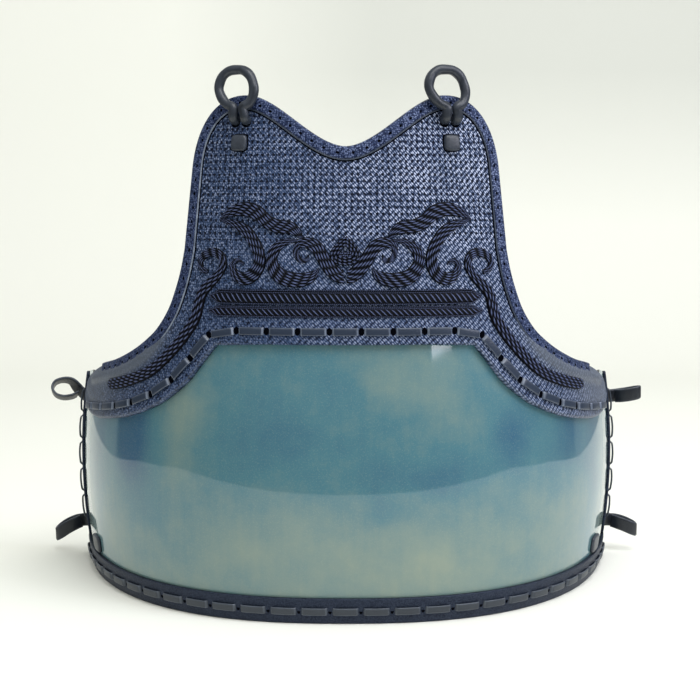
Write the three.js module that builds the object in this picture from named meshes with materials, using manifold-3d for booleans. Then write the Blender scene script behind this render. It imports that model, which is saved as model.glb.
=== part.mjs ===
// A kendo breastplate: a hard lacquered shell round the trunk, with a leather chest piece laced over its top.
// Millimetres, +Z up, the front faces -Y and +X is to the right seen from the front.
// Every piece is drawn flat, by its girth (distance round the trunk from the front centre) and its height,
// and is then bent over one trunk surface. Lift is the distance out from that surface.
import * as THREE from 'three';
import { mergeVertices } from 'three/addons/utils/BufferGeometryUtils.js';
import Module from 'manifold-3d';

const wasm = await Module();
wasm.setup();

// Trunk surface
const PLAN_HALF_WIDTH = 220;
const PLAN_HALF_DEPTH = 297;
const PLAN_SQUARENESS = 2.4;
const TRUNK_DEPTH = 204;
const BULGE = 7.5;
const BULGE_HEIGHT = 85;
const LEAN_START = 165;

// Fit
const GAP = 0.3;
const SEAT_GAP = 0.4;

// Shell
const SHELL_THICK = 5;
const SHELL_OVERLAP = 28;

// Chest piece
const PLATE_THICK = 4.6;
const PLATE_HEIGHT = 372.4;
const NECK_HEIGHT = 335.9;
const PEAK_GIRTH = 82.4;
const BIB_GIRTH = 127;
const SHOULDER_DROP = 51;
const ARMHOLE_HEIGHT = 264;
const LOWER_EDGE_HEIGHT = 198.7;
const CORNER_GIRTH = 94;
const WING_LOW_HEIGHT = 128;
const WING_TOP_HEIGHT = 168.2;
const WING_SHORT = 57.6;
const EAR_LENGTH = 58;

// Leather edge strips
const EDGE_WIDTH = 7.4;
const EDGE_LEATHER = 1.2;
const EDGE_END_GIRTH = 222;
const BINDING_HEIGHT = 19;
const BINDING_LEATHER = 2.4;
const SIDE_WIDTH = 12;
const SIDE_LEATHER = 2;

// Raised cords on the chest piece
const CORD_RELIEF = 2.3;
const CORD_SHOULDER = 0.7;
const BAND_GIRTH = 101;
const BAND_TAPER = 9;
const BAND_RISE = 19.3;
const LOWER_BAND_WIDTH = 7.6;
const BAND_SPACE = 1;
const UPPER_BAND_WIDTH = 10.6;
const SCROLL_SPACE = 6.8;
const SCROLL_GIRTH = 112;
const SCROLL_RISE = 50;
const STROKE_WIDTH = 9;
const WING_BAND_WIDTH = 8.4;
const BUD_PLACE = 20.4;
const BUD_WIDTH = 22;
const BUD_RISE = 21;

// Laces
const LACE_WIDTH = 5.4;
const LACE_THICK = 1.5;
const LACE_PITCH = 22.4;
const LACE_END = 12;
const CUT_PAST = 2;
const LACE_HOLE = 5.6;
const LACE_EASE = 0.9;
const LACE_REST = 0.5;
const LACE_INSET = 9.4;
const BOTTOM_LACE_HEIGHT = 9.6;
const LACE_ARCH = 0.4;
const SIDE_LACE_ARCH = 1;

// Shoulder loops
const LOOP_CORD = 7;
const LOOP_GIRTH = 84.5;
const LOOP_FOOT_HEIGHT = 356;
const LOOP_FOOT_SPREAD = 5;
const LOOP_RISE = 35.5;
const LOOP_LEAN = 4;
const LOOP_HALF_WIDTH = 15.8;
const STUB_HEIGHT = 340;
const STUB_WIDTH = 13.2;
const STUB_RISE = 11.4;
const STUB_THICK = 3.6;

// Side loops
const STRAP_WIDTH = 11;
const STRAP_THICK = 2.2;
const STRAP_EASE = 1;
const STRAP_REACH = 29;
const STRAP_TAIL = 38;
const UPPER_STRAP_HEIGHT = 134;
const LOWER_STRAP_HEIGHT = 27;
const TAB_GIRTH = 250;
const TAB_LENGTH = 20;
const TAB_THICK = 2.6;
const SLIT_LENGTH = 4;

// Fineness of the facets
const COLUMN_WIDTH = 15.5;
const PLATE_ROWS = 4;
const SHELL_ROWS = 6;
const CORD_STEP = 5;

// Lifts of the faces, from the inside of the shell outwards
const PLATE_FACE = SEAT_GAP + PLATE_THICK;
const RELIEF_SEAT = PLATE_FACE + GAP;
const SHELL_INSIDE = -SHELL_THICK;

// Heights of the raised cords, one above the other from the lower edge of the chest piece
const LOWER_BAND_HEIGHT = LOWER_EDGE_HEIGHT + BAND_RISE + LOWER_BAND_WIDTH / 2;
const UPPER_BAND_HEIGHT = LOWER_BAND_HEIGHT + (LOWER_BAND_WIDTH + UPPER_BAND_WIDTH) / 2 + BAND_SPACE;
const SCROLL_BASE = UPPER_BAND_HEIGHT + UPPER_BAND_WIDTH / 2 + SCROLL_SPACE;
const BUD_HEIGHT = SCROLL_BASE + BUD_PLACE;

// Plan of the trunk: a superellipse, read by the distance round it
const PLAN_STEPS = 3000;
const plan = [{ girth: 0, x: 0, y: -PLAN_HALF_DEPTH }];
for (let k = 1; k < PLAN_STEPS; k += 1) {
  const turn = (Math.PI / 2) * (k / PLAN_STEPS);
  const x = PLAN_HALF_WIDTH * Math.sin(turn) ** (2 / PLAN_SQUARENESS);
  const y = -PLAN_HALF_DEPTH * Math.cos(turn) ** (2 / PLAN_SQUARENESS);
  const last = plan[k - 1];
  plan.push({ girth: last.girth + Math.hypot(x - last.x, y - last.y), x, y });
}

function planPoint(girth) {
  let low = 0;
  let high = plan.length - 1;
  while (high - low > 1) {
    const middle = (low + high) >> 1;
    if (plan[middle].girth > girth) high = middle;
    else low = middle;
  }
  const share = (girth - plan[low].girth) / (plan[high].girth - plan[low].girth);
  return new THREE.Vector2(
    THREE.MathUtils.lerp(plan[low].x, plan[high].x, share),
    THREE.MathUtils.lerp(plan[low].y, plan[high].y, share),
  );
}

function planFrame(girth) {
  const reach = Math.abs(girth);
  const near = planPoint(Math.max(reach - 0.5, 0));
  const along = planPoint(reach + 0.5).sub(near).normalize();
  const out = new THREE.Vector2(along.y, -along.x);
  const point = planPoint(reach);
  if (girth < 0) {
    point.x *= -1;
    out.x *= -1;
  }
  return { point, out };
}

const BACK_Y = TRUNK_DEPTH - PLAN_HALF_DEPTH;
const BACK_GIRTH = plan.find((step) => step.y >= BACK_Y).girth;
const WING_END = BACK_GIRTH - WING_SHORT;

// Swell of the trunk with height: an arch that turns into a straight lean backwards
function swell(height) {
  const arch = (z) => BULGE * (1 - ((z - BULGE_HEIGHT) / BULGE_HEIGHT) ** 2);
  const lean = (-2 * BULGE * (LEAN_START - BULGE_HEIGHT)) / BULGE_HEIGHT ** 2;
  return height < LEAN_START ? arch(height) : arch(LEAN_START) + lean * (height - LEAN_START);
}

function onTrunk(girth, height, lift) {
  const { point, out } = planFrame(girth);
  const reach = swell(height) + lift;
  return new THREE.Vector3(point.x + out.x * reach, point.y + out.y * reach, height);
}

// Bodies: a list of points and a list of triangles, closed, with the faces turned outwards
function makeBody(points, triangles) {
  let volume = 0;
  for (const [a, b, c] of triangles) {
    volume += points[a].dot(new THREE.Vector3().crossVectors(points[b], points[c]));
  }
  const faces = volume < 0 ? triangles.map(([a, b, c]) => [a, c, b]) : triangles;
  return { points, triangles: faces };
}

function addQuad(triangles, a, b, c, d) {
  triangles.push([a, b, c], [a, c, d]);
}

// A wall between two lifts: flatAt(column, row) gives the girth and the height of each grid point
function makeWall(columns, rows, flatAt, inner, outer) {
  const points = [];
  for (const lift of [inner, outer]) {
    for (let i = 0; i <= columns; i += 1) {
      for (let j = 0; j <= rows; j += 1) {
        const [girth, height] = flatAt(i, j);
        points.push(onTrunk(girth, height, lift));
      }
    }
  }
  const layer = (columns + 1) * (rows + 1);
  const at = (i, j) => i * (rows + 1) + j;
  const triangles = [];
  for (let i = 0; i < columns; i += 1) {
    for (let j = 0; j < rows; j += 1) {
      const corners = [at(i, j), at(i + 1, j), at(i + 1, j + 1), at(i, j + 1)];
      addQuad(triangles, ...corners.map((k) => k + layer));
      addQuad(triangles, ...corners.reverse());
    }
    addQuad(triangles, at(i + 1, 0) + layer, at(i, 0) + layer, at(i, 0), at(i + 1, 0));
    addQuad(triangles, at(i, rows) + layer, at(i + 1, rows) + layer, at(i + 1, rows), at(i, rows));
  }
  for (let j = 0; j < rows; j += 1) {
    addQuad(triangles, at(0, j) + layer, at(0, j + 1) + layer, at(0, j + 1), at(0, j));
    const above = at(columns, j + 1);
    const below = at(columns, j);
    addQuad(triangles, above + layer, below + layer, below, above);
  }
  return makeBody(points, triangles);
}

// A loft through rings of points, closed by two flat caps cut from the outline of the section
function makeLoft(rings, outline) {
  const size = outline.length;
  const points = rings.flat();
  const triangles = [];
  for (let k = 0; k + 1 < rings.length; k += 1) {
    for (let m = 0; m < size; m += 1) {
      const next = (m + 1) % size;
      addQuad(triangles, k * size + m, (k + 1) * size + m, (k + 1) * size + next, k * size + next);
    }
  }
  const flat = outline.map(([a, b]) => new THREE.Vector2(a, b));
  const turn = Math.sign(THREE.ShapeUtils.area(flat));
  const last = (rings.length - 1) * size;
  for (const [a, b, c] of THREE.ShapeUtils.triangulateShape(flat, [])) {
    const kept = Math.sign(THREE.ShapeUtils.area([flat[a], flat[b], flat[c]])) === turn;
    const cap = kept ? [a, b, c] : [a, c, b];
    triangles.push(cap);
    triangles.push(cap.map((m) => m + last).reverse());
  }
  return makeBody(points, triangles);
}

// Booleans
function toManifold({ points, triangles }) {
  const mesh = new wasm.Mesh({
    numProp: 3,
    vertProperties: new Float32Array(points.flatMap((p) => [p.x, p.y, p.z])),
    triVerts: new Uint32Array(triangles.flat()),
  });
  return new wasm.Manifold(mesh);
}

function fromManifold(manifold) {
  const { vertProperties, triVerts } = manifold.getMesh();
  const points = [];
  for (let k = 0; k < vertProperties.length; k += 3) {
    points.push(new THREE.Vector3(vertProperties[k], vertProperties[k + 1], vertProperties[k + 2]));
  }
  const triangles = [];
  for (let k = 0; k < triVerts.length; k += 3) {
    triangles.push([triVerts[k], triVerts[k + 1], triVerts[k + 2]]);
  }
  return { points, triangles };
}

const joined = (bodies) => fromManifold(bodies.map(toManifold).reduce((all, body) => all.add(body)));
const cut = (body, cutters) => fromManifold(
  cutters.map(toManifold).reduce((rest, cutter) => rest.subtract(cutter), toManifold(body)),
);

// Flat paths: a smooth curve through a few points, as (girth, height, half width)
function smoothPath(points, step) {
  const curve = new THREE.CatmullRomCurve3(points.map((p) => new THREE.Vector3(...p)), false, 'centripetal');
  return curve.getSpacedPoints(Math.max(2, Math.round(curve.getLength() / step)));
}

function flatDirection(path, k) {
  const before = path[Math.max(k - 1, 0)];
  const after = path[Math.min(k + 1, path.length - 1)];
  return new THREE.Vector2(after.x - before.x, after.y - before.y).normalize();
}

const mirrored = (points) => points.map(([girth, ...rest]) => [-girth, ...rest]);

// A strip along a flat path. The section is a list of (share of the half width, lift)
function makeStrip(path, section) {
  const rings = path.map((p, k) => {
    const along = flatDirection(path, k);
    return section.map(([share, lift]) => {
      const side = share * p.z;
      return onTrunk(p.x - along.y * side, p.y + along.x * side, lift);
    });
  });
  return makeLoft(rings, section);
}

const reliefSection = [
  [-1, RELIEF_SEAT],
  [1, RELIEF_SEAT],
  [CORD_SHOULDER, RELIEF_SEAT + CORD_RELIEF],
  [-CORD_SHOULDER, RELIEF_SEAT + CORD_RELIEF],
];

// Outlines of the chest piece, from the front centre to the wing end.
// A share of 0 is the front centre or the corner, and 1 is the wing end.
const wingSpan = WING_END - BIB_GIRTH;
const armholeFall = ARMHOLE_HEIGHT - WING_TOP_HEIGHT;
const ARMHOLE_SHARES = [
  { out: 0, down: 0 },
  { out: 0.013, down: 0.155 },
  { out: 0.036, down: 0.3 },
  { out: 0.073, down: 0.455 },
  { out: 0.142, down: 0.605 },
  { out: 0.207, down: 0.687 },
  { out: 0.31, down: 0.78 },
  { out: 0.475, down: 0.878 },
  { out: 0.646, down: 0.935 },
  { out: 0.85, down: 0.985 },
  { out: 1, down: 1 },
];
const lowerSpan = WING_END - CORNER_GIRTH;
const lowerFall = LOWER_EDGE_HEIGHT - WING_LOW_HEIGHT;
const LOWER_SHARES = [
  { out: 0, down: 0.02 },
  { out: 0.043, down: 0.15 },
  { out: 0.081, down: 0.27 },
  { out: 0.121, down: 0.395 },
  { out: 0.164, down: 0.49 },
  { out: 0.212, down: 0.58 },
  { out: 0.261, down: 0.655 },
  { out: 0.315, down: 0.715 },
  { out: 0.39, down: 0.785 },
  { out: 0.485, down: 0.85 },
  { out: 0.611, down: 0.905 },
  { out: 0.756, down: 0.95 },
  { out: 0.9, down: 0.985 },
  { out: 1, down: 1 },
];

function shareCurve(rows, girth, span, height, fall) {
  const points = rows.map(({ out, down }) => new THREE.Vector3(girth + out * span, height - down * fall, 0));
  return new THREE.CatmullRomCurve3(points, false, 'centripetal');
}

const armholeCurve = shareCurve(ARMHOLE_SHARES, BIB_GIRTH, wingSpan, ARMHOLE_HEIGHT, armholeFall);
const lowerCurve = shareCurve(LOWER_SHARES, CORNER_GIRTH, lowerSpan, LOWER_EDGE_HEIGHT, lowerFall);

// Neckline: an S curve from the low front centre up to the shoulder peak
function neckline(share) {
  const u = share ** 0.93;
  return [share * PEAK_GIRTH, NECK_HEIGHT + (PLATE_HEIGHT - NECK_HEIGHT) * u * u * (3 - 2 * u)];
}

// Shoulder: a quarter of a superellipse, then straight down to the armhole
function shoulder(share) {
  const ROUND_SHARE = 0.62;
  const low = PLATE_HEIGHT - SHOULDER_DROP;
  if (share > ROUND_SHARE) {
    const fall = (share - ROUND_SHARE) / (1 - ROUND_SHARE);
    return [BIB_GIRTH, THREE.MathUtils.lerp(low, ARMHOLE_HEIGHT, fall)];
  }
  const turn = (Math.PI / 2) * (share / ROUND_SHARE);
  const power = 2 / 2.2;
  return [
    PEAK_GIRTH + (BIB_GIRTH - PEAK_GIRTH) * Math.sin(turn) ** power,
    low + SHOULDER_DROP * Math.cos(turn) ** power,
  ];
}

// The ear that ends each wing is rounded: its height closes in as a circle does
function earRound(girth) {
  const into = Math.max(0, (girth - (WING_END - EAR_LENGTH)) / EAR_LENGTH);
  return Math.sqrt(1 - 0.93 * into * into);
}

const NECK_COLUMNS = 6;
const SHOULDER_COLUMNS = 10;
const WING_COLUMNS = 14;
const HALF_COLUMNS = NECK_COLUMNS + SHOULDER_COLUMNS + WING_COLUMNS;
const PEAK_FOOT_GIRTH = 0.6 * CORNER_GIRTH;

// The two edges of the chest piece at one column, counted outwards from the front centre
function plateColumn(k) {
  if (k <= NECK_COLUMNS) {
    const share = k / NECK_COLUMNS;
    return { low: [share * PEAK_FOOT_GIRTH, LOWER_EDGE_HEIGHT], top: neckline(share) };
  }
  if (k <= NECK_COLUMNS + SHOULDER_COLUMNS) {
    const share = (k - NECK_COLUMNS) / SHOULDER_COLUMNS;
    const girth = THREE.MathUtils.lerp(PEAK_FOOT_GIRTH, CORNER_GIRTH, share);
    const height = LOWER_EDGE_HEIGHT - lowerFall * LOWER_SHARES[0].down * share;
    return { low: [girth, height], top: shoulder(share) };
  }
  const share = (k - NECK_COLUMNS - SHOULDER_COLUMNS) / WING_COLUMNS;
  const low = lowerCurve.getPointAt(share);
  const top = armholeCurve.getPointAt(share);
  const middle = (low.y + top.y) / 2;
  return {
    low: [low.x, middle + (low.y - middle) * earRound(low.x)],
    top: [top.x, middle + (top.y - middle) * earRound(top.x)],
  };
}

function plateAt(i, j) {
  const k = i - HALF_COLUMNS;
  const { low, top } = plateColumn(Math.abs(k));
  const share = j / PLATE_ROWS;
  const girth = THREE.MathUtils.lerp(low[0], top[0], share);
  return [k < 0 ? -girth : girth, THREE.MathUtils.lerp(low[1], top[1], share)];
}

// The lower edge as one row of flat points from the front centre to a girth
function lowerEdge(lastGirth) {
  const points = [
    new THREE.Vector2(0, LOWER_EDGE_HEIGHT),
    new THREE.Vector2(0.98 * CORNER_GIRTH, LOWER_EDGE_HEIGHT),
  ];
  for (const p of lowerCurve.getSpacedPoints(80)) {
    if (p.x < lastGirth) points.push(new THREE.Vector2(p.x, p.y));
  }
  return points;
}

function heightOn(points, girth) {
  const reach = Math.abs(girth);
  const k = points.findIndex((p) => p.x >= reach);
  if (k <= 0) return k === 0 ? points[0].y : points[points.length - 1].y;
  const share = (reach - points[k - 1].x) / (points[k].x - points[k - 1].x);
  return THREE.MathUtils.lerp(points[k - 1].y, points[k].y, share);
}

// A path shifted sideways by a distance, up being the positive side of an outward path
function offsetPath(points, distance) {
  return points.map((p, k) => {
    const along = flatDirection(points, k);
    return new THREE.Vector2(p.x - along.y * distance, p.y + along.x * distance);
  });
}

// Points at even distances along a path, each with its direction. The pitch is eased so that the first is
// half a pitch from the start and the last is at the end.
function evenPoints(points) {
  const total = points.slice(1).reduce((sum, p, k) => sum + p.distanceTo(points[k]), 0);
  const pitch = total / (Math.round(total / LACE_PITCH - 0.5) + 0.5);
  const found = [];
  let run = 0;
  let next = pitch / 2;
  for (let k = 1; k < points.length; k += 1) {
    const from = points[k - 1];
    const to = points[k];
    const length = from.distanceTo(to);
    while (next <= run + length + GAP / 10) {
      const place = from.clone().lerp(to, (next - run) / length);
      found.push({ place, along: to.clone().sub(from).normalize() });
      next += pitch;
    }
    run += length;
  }
  return found;
}

// Each hole is turned half way between the stitches on its two sides
function turnHoles(stops) {
  return stops.map(({ place }, k) => {
    const before = stops[Math.max(k - 1, 0)].place;
    const after = stops[Math.min(k + 1, stops.length - 1)].place;
    const back = place.clone().sub(before).normalize();
    return { place, along: after.clone().sub(place).normalize().add(back).normalize() };
  });
}

// Both halves of a symmetric path from the outer left to the outer right
function bothSides(stops) {
  const left = stops.map(({ place, along }) => ({
    place: new THREE.Vector2(-place.x, place.y),
    along: new THREE.Vector2(along.x, -along.y),
  }));
  return turnHoles([...left.reverse(), ...stops]);
}

// A lace over a face: it lies on the face between two holes and dips into each of them
function makeLace(holes, seat, dip, arch) {
  const stations = [];
  const half = LACE_HOLE / 2 - LACE_REST;
  const add = (place, along, lift) => stations.push({ place, along, lift });
  holes.forEach(({ place, along }, k) => {
    const next = holes[k + 1];
    add(place, along, seat - dip);
    if (!next) return;
    const way = next.place.clone().sub(place).normalize();
    add(place.clone().addScaledVector(way, half), way, seat);
    add(place.clone().lerp(next.place, 0.5), way, seat + arch);
    add(next.place.clone().addScaledVector(way, -half), way, seat);
  });
  const outline = [[-1, 0], [1, 0], [1, LACE_THICK], [-1, LACE_THICK]];
  const rings = stations.map(({ place, along, lift }) => outline.map(([share, thick]) => {
    const side = (share * LACE_WIDTH) / 2;
    return onTrunk(place.x - along.y * side, place.y + along.x * side, lift + thick);
  }));
  return makeLoft(rings, outline);
}

// A straight-sided prism through the thickness of a sheet
function makePlug({ place, along }, length, width, low, high) {
  const outline = [[-1, -1], [1, -1], [1, 1], [-1, 1]];
  const rings = [low, high].map((lift) => outline.map(([a, b]) => {
    const forward = (a * length) / 2;
    const side = (b * width) / 2;
    const girth = place.x + along.x * forward - along.y * side;
    const height = place.y + along.y * forward + along.x * side;
    return onTrunk(girth, height, lift);
  }));
  return makeLoft(rings, outline);
}

const laceCutters = (holes, low, high) => holes.map((hole) => (
  makePlug(hole, LACE_HOLE, LACE_WIDTH + 2 * LACE_EASE, low, high)
));

// A flat three.js geometry of (girth, height, lift) bent over the trunk
function bent(geometry) {
  geometry.deleteAttribute('normal');
  geometry.deleteAttribute('uv');
  const merged = mergeVertices(geometry, 1e-3);
  const position = merged.getAttribute('position');
  const points = [];
  for (let k = 0; k < position.count; k += 1) {
    points.push(onTrunk(position.getX(k), position.getY(k), position.getZ(k)));
  }
  const index = merged.getIndex().array;
  const triangles = [];
  for (let k = 0; k < index.length; k += 3) triangles.push([index[k], index[k + 1], index[k + 2]]);
  return makeBody(points, triangles);
}

// Torso shell
const shellBottom = BINDING_LEATHER + SEAT_GAP;
const edgeOfPlate = lowerEdge(WING_END + 1);
const shellTop = (girth) => heightOn(edgeOfPlate, girth) + SHELL_OVERLAP;
const shellColumns = 2 * Math.ceil(BACK_GIRTH / COLUMN_WIDTH);

const shellGirth = (i) => THREE.MathUtils.lerp(-BACK_GIRTH, BACK_GIRTH, i / shellColumns);

// The first row of the shell ends at the top of the bottom strip, and the others share the rest
function shellAt(i, j) {
  const girth = shellGirth(i);
  if (j === 0) return [girth, shellBottom];
  return [girth, THREE.MathUtils.lerp(BINDING_HEIGHT, shellTop(girth), (j - 1) / (SHELL_ROWS - 1))];
}

const tabPlace = (side) => ({
  place: new THREE.Vector2(side * TAB_GIRTH, LOWER_STRAP_HEIGHT),
  along: new THREE.Vector2(1, 0),
});
const slitCutter = (side) => makePlug(
  tabPlace(side), SLIT_LENGTH + 2 * GAP, STRAP_WIDTH + 2 * GAP, SHELL_INSIDE - CUT_PAST, CUT_PAST,
);
const shellWall = makeWall(shellColumns, SHELL_ROWS, shellAt, SHELL_INSIDE, 0);
const shell = cut(shellWall, [slitCutter(-1), slitCutter(1)]);

// Chest piece, drilled for its lace and for the feet of the shoulder loops
const laceLine = offsetPath(edgeOfPlate, LACE_INSET).filter((p) => p.x < WING_END - LACE_END);
laceLine.push(new THREE.Vector2(WING_END - LACE_END, laceLine[laceLine.length - 1].y));
const chestHoles = bothSides(evenPoints(laceLine));
const footPlaces = [-1, 1].flatMap((side) => [-1, 1].map((foot) => ({
  place: new THREE.Vector2(side * LOOP_GIRTH + foot * LOOP_FOOT_SPREAD, LOOP_FOOT_HEIGHT),
  along: new THREE.Vector2(1, 0),
})));
const footHole = LOOP_CORD + 5 * GAP;
const plate = cut(makeWall(2 * HALF_COLUMNS, PLATE_ROWS, plateAt, SEAT_GAP, PLATE_FACE), [
  ...laceCutters(chestHoles, -CUT_PAST, PLATE_FACE + CUT_PAST),
  ...footPlaces.map((foot) => makePlug(foot, footHole, footHole, -CUT_PAST, PLATE_FACE + CUT_PAST)),
]);
const CHEST_LACE_DIP = 0.6 * PLATE_THICK;
const chestLace = makeLace(chestHoles, RELIEF_SEAT, CHEST_LACE_DIP, LACE_ARCH);

// Folded strips: a U section, as (distance in from the edge, lift), round a sheet between two lifts
function foldSection(width, leather, gap, inner, outer) {
  return [
    [width, outer + gap],
    [width, outer + gap + leather],
    [-gap - leather, outer + gap + leather],
    [-gap - leather, inner - gap - leather],
    [width, inner - gap - leather],
    [width, inner - gap],
    [-gap, inner - gap],
    [-gap, outer + gap],
  ];
}

// Strip round the top edge of the chest piece, with a station at each of its columns
function plateTopEdge() {
  const half = [];
  for (let k = 0; k <= HALF_COLUMNS; k += 1) {
    const { top } = plateColumn(k);
    if (top[0] < EDGE_END_GIRTH) half.push(top);
  }
  const points = [...mirrored(half.slice(1)).reverse(), ...half];
  return points.map(([girth, height]) => new THREE.Vector2(girth, height));
}

function makeEdgeStrip(path, section) {
  const rings = path.map((p, k) => {
    const along = flatDirection(path, k);
    return section.map(([inward, lift]) => onTrunk(p.x + along.y * inward, p.y - along.x * inward, lift));
  });
  return makeLoft(rings, section);
}

const edgeBinding = makeEdgeStrip(
  plateTopEdge(),
  foldSection(EDGE_WIDTH, EDGE_LEATHER, GAP, SEAT_GAP, PLATE_FACE),
);

// Strip round the bottom of the shell, with its lace
const stripEnd = BACK_GIRTH + SEAT_GAP + SIDE_LEATHER;
const bottomGirths = [-stripEnd, stripEnd];
for (let i = shellColumns; i >= 0; i -= 1) bottomGirths.splice(1, 0, shellGirth(i));
const bottomFold = foldSection(BINDING_HEIGHT - shellBottom, BINDING_LEATHER, SEAT_GAP, SHELL_INSIDE, 0);
const bottomRings = bottomGirths.map((girth) => (
  bottomFold.map(([up, lift]) => onTrunk(girth, shellBottom + up, lift))
));
const bottomHoles = bothSides(evenPoints(
  [new THREE.Vector2(0, BOTTOM_LACE_HEIGHT), new THREE.Vector2(BACK_GIRTH - LACE_END, BOTTOM_LACE_HEIGHT)],
));
const bottomFace = SEAT_GAP + BINDING_LEATHER;
const bottomCutters = laceCutters(bottomHoles, GAP / 3, bottomFace + CUT_PAST);
const bottomBinding = cut(makeLoft(bottomRings, bottomFold), bottomCutters);
const bottomLace = makeLace(bottomHoles, bottomFace + GAP, 0.75 * BINDING_LEATHER, LACE_ARCH);

// Strips on the back edges, with their laces
const sideFold = foldSection(SIDE_WIDTH, SIDE_LEATHER, SEAT_GAP, SHELL_INSIDE, 0);
const sideBottom = BINDING_HEIGHT + SEAT_GAP;
const sideTop = shellTop(BACK_GIRTH);
const sideFace = SEAT_GAP + SIDE_LEATHER;
const SIDE_STEPS = 8;

function sideHoles(side) {
  const path = [
    new THREE.Vector2(side * (BACK_GIRTH - SIDE_WIDTH / 2), sideBottom),
    new THREE.Vector2(side * (BACK_GIRTH - SIDE_WIDTH / 2), sideTop - LACE_END),
  ];
  return turnHoles(evenPoints(path));
}

function makeSideBinding(side) {
  const rings = [];
  for (let k = 0; k <= SIDE_STEPS; k += 1) {
    const height = THREE.MathUtils.lerp(sideBottom, sideTop, k / SIDE_STEPS);
    rings.push(sideFold.map(([inward, lift]) => onTrunk(side * (BACK_GIRTH - inward), height, lift)));
  }
  return cut(makeLoft(rings, sideFold), laceCutters(sideHoles(side), GAP / 3, sideFace + CUT_PAST));
}

const makeSideLace = (side) => makeLace(sideHoles(side), sideFace + GAP, 0.75 * SIDE_LEATHER, SIDE_LACE_ARCH);

// Corded bands across the chest, drawn in to a point at both ends
function makeBand(height, width) {
  const full = width / 2;
  const tip = 0.2 * full;
  const steps = 2 * Math.ceil((BAND_GIRTH - BAND_TAPER) / COLUMN_WIDTH);
  const path = [new THREE.Vector3(-BAND_GIRTH, height, tip)];
  for (let k = 0; k <= steps; k += 1) {
    const girth = THREE.MathUtils.lerp(BAND_TAPER - BAND_GIRTH, BAND_GIRTH - BAND_TAPER, k / steps);
    path.push(new THREE.Vector3(girth, height, full));
  }
  path.push(new THREE.Vector3(BAND_GIRTH, height, tip));
  return makeStrip(path, reliefSection);
}

// Cloud scroll: four strokes, as shares of the girth, the rise and the stroke's width
const CREST = [
  { out: 0.871, up: 0.84, wide: 0.12 },
  { out: 0.793, up: 0.94, wide: 0.75 },
  { out: 0.691, up: 0.986, wide: 1.05 },
  { out: 0.596, up: 0.934, wide: 1.1 },
  { out: 0.527, up: 0.82, wide: 1 },
  { out: 0.46, up: 0.752, wide: 1 },
  { out: 0.358, up: 0.722, wide: 0.9 },
  { out: 0.308, up: 0.648, wide: 0.6 },
  { out: 0.279, up: 0.566, wide: 0.12 },
];
const STEM = [
  { out: 0.871, up: 0.84, wide: 0.12 },
  { out: 0.747, up: 0.766, wide: 0.7 },
  { out: 0.659, up: 0.66, wide: 0.9 },
  { out: 0.61, up: 0.526, wide: 0.95 },
  { out: 0.57, up: 0.36, wide: 0.95 },
  { out: 0.566, up: 0.208, wide: 1 },
  { out: 0.599, up: 0.072, wide: 1 },
  { out: 0.664, up: 0.008, wide: 0.95 },
  { out: 0.733, up: 0.082, wide: 0.7 },
  { out: 0.753, up: 0.204, wide: 0.5 },
  { out: 0.716, up: 0.264, wide: 0.35 },
  { out: 0.67, up: 0.206, wide: 0.12 },
];
const CRESCENT = [
  { out: 0.293, up: 0.552, wide: 0.12 },
  { out: 0.386, up: 0.528, wide: 0.5 },
  { out: 0.454, up: 0.436, wide: 0.8 },
  { out: 0.481, up: 0.3, wide: 0.9 },
  { out: 0.465, up: 0.166, wide: 1 },
  { out: 0.413, up: 0.046, wide: 1.1 },
  { out: 0.344, up: 0.002, wide: 1.1 },
  { out: 0.268, up: 0.004, wide: 1 },
  { out: 0.206, up: 0.064, wide: 0.7 },
  { out: 0.169, up: 0.162, wide: 0.12 },
];
const WAVE = [
  { out: 0.01, up: 0.05, wide: 1 },
  { out: 0.03, up: 0.05, wide: 1 },
  { out: 0.06, up: 0.085, wide: 1.05 },
  { out: 0.104, up: 0.184, wide: 1.05 },
  { out: 0.146, up: 0.32, wide: 1 },
  { out: 0.188, up: 0.454, wide: 1 },
  { out: 0.244, up: 0.514, wide: 0.85 },
  { out: 0.3, up: 0.498, wide: 0.65 },
  { out: 0.321, up: 0.4, wide: 0.5 },
  { out: 0.298, up: 0.29, wide: 0.4 },
  { out: 0.252, up: 0.27, wide: 0.3 },
  { out: 0.235, up: 0.35, wide: 0.12 },
];

function makeStroke(rows, side) {
  const points = rows.map(({ out, up, wide }) => [
    side * out * SCROLL_GIRTH, SCROLL_BASE + up * SCROLL_RISE, (wide * STROKE_WIDTH) / 2,
  ]);
  return makeStrip(smoothPath(points, CORD_STEP), reliefSection);
}

const makeScroll = (side) => joined([CREST, STEM, CRESCENT, WAVE].map((rows) => makeStroke(rows, side)));

// Wing band: a small ring beside the scroll, then a band that follows the wing to its ear.
// Its ring rows are shares of the scroll, and its wing rows are shares of the span and height of the wing.
const RING = [
  { out: 0.933, up: 0.092, wide: 0.35 },
  { out: 0.988, up: 0.144, wide: 0.5 },
  { out: 0.999, up: 0.256, wide: 0.6 },
  { out: 0.955, up: 0.352, wide: 0.7 },
  { out: 0.891, up: 0.372, wide: 0.7 },
  { out: 0.836, up: 0.308, wide: 0.7 },
  { out: 0.821, up: 0.192, wide: 0.7 },
  { out: 0.853, up: 0.056, wide: 0.75 },
  { out: 0.911, up: -0.068, wide: 0.9 },
  { out: 0.966, up: -0.216, wide: 0.95 },
];
const WING_RUN = [
  { along: 0.05, across: 0.42, wide: 1 },
  { along: 0.123, across: 0.44, wide: 1 },
  { along: 0.234, across: 0.5, wide: 1 },
  { along: 0.357, across: 0.52, wide: 1 },
  { along: 0.48, across: 0.56, wide: 1 },
  { along: 0.6, across: 0.6, wide: 1 },
  { along: 0.67, across: 0.62, wide: 0.8 },
];

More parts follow.
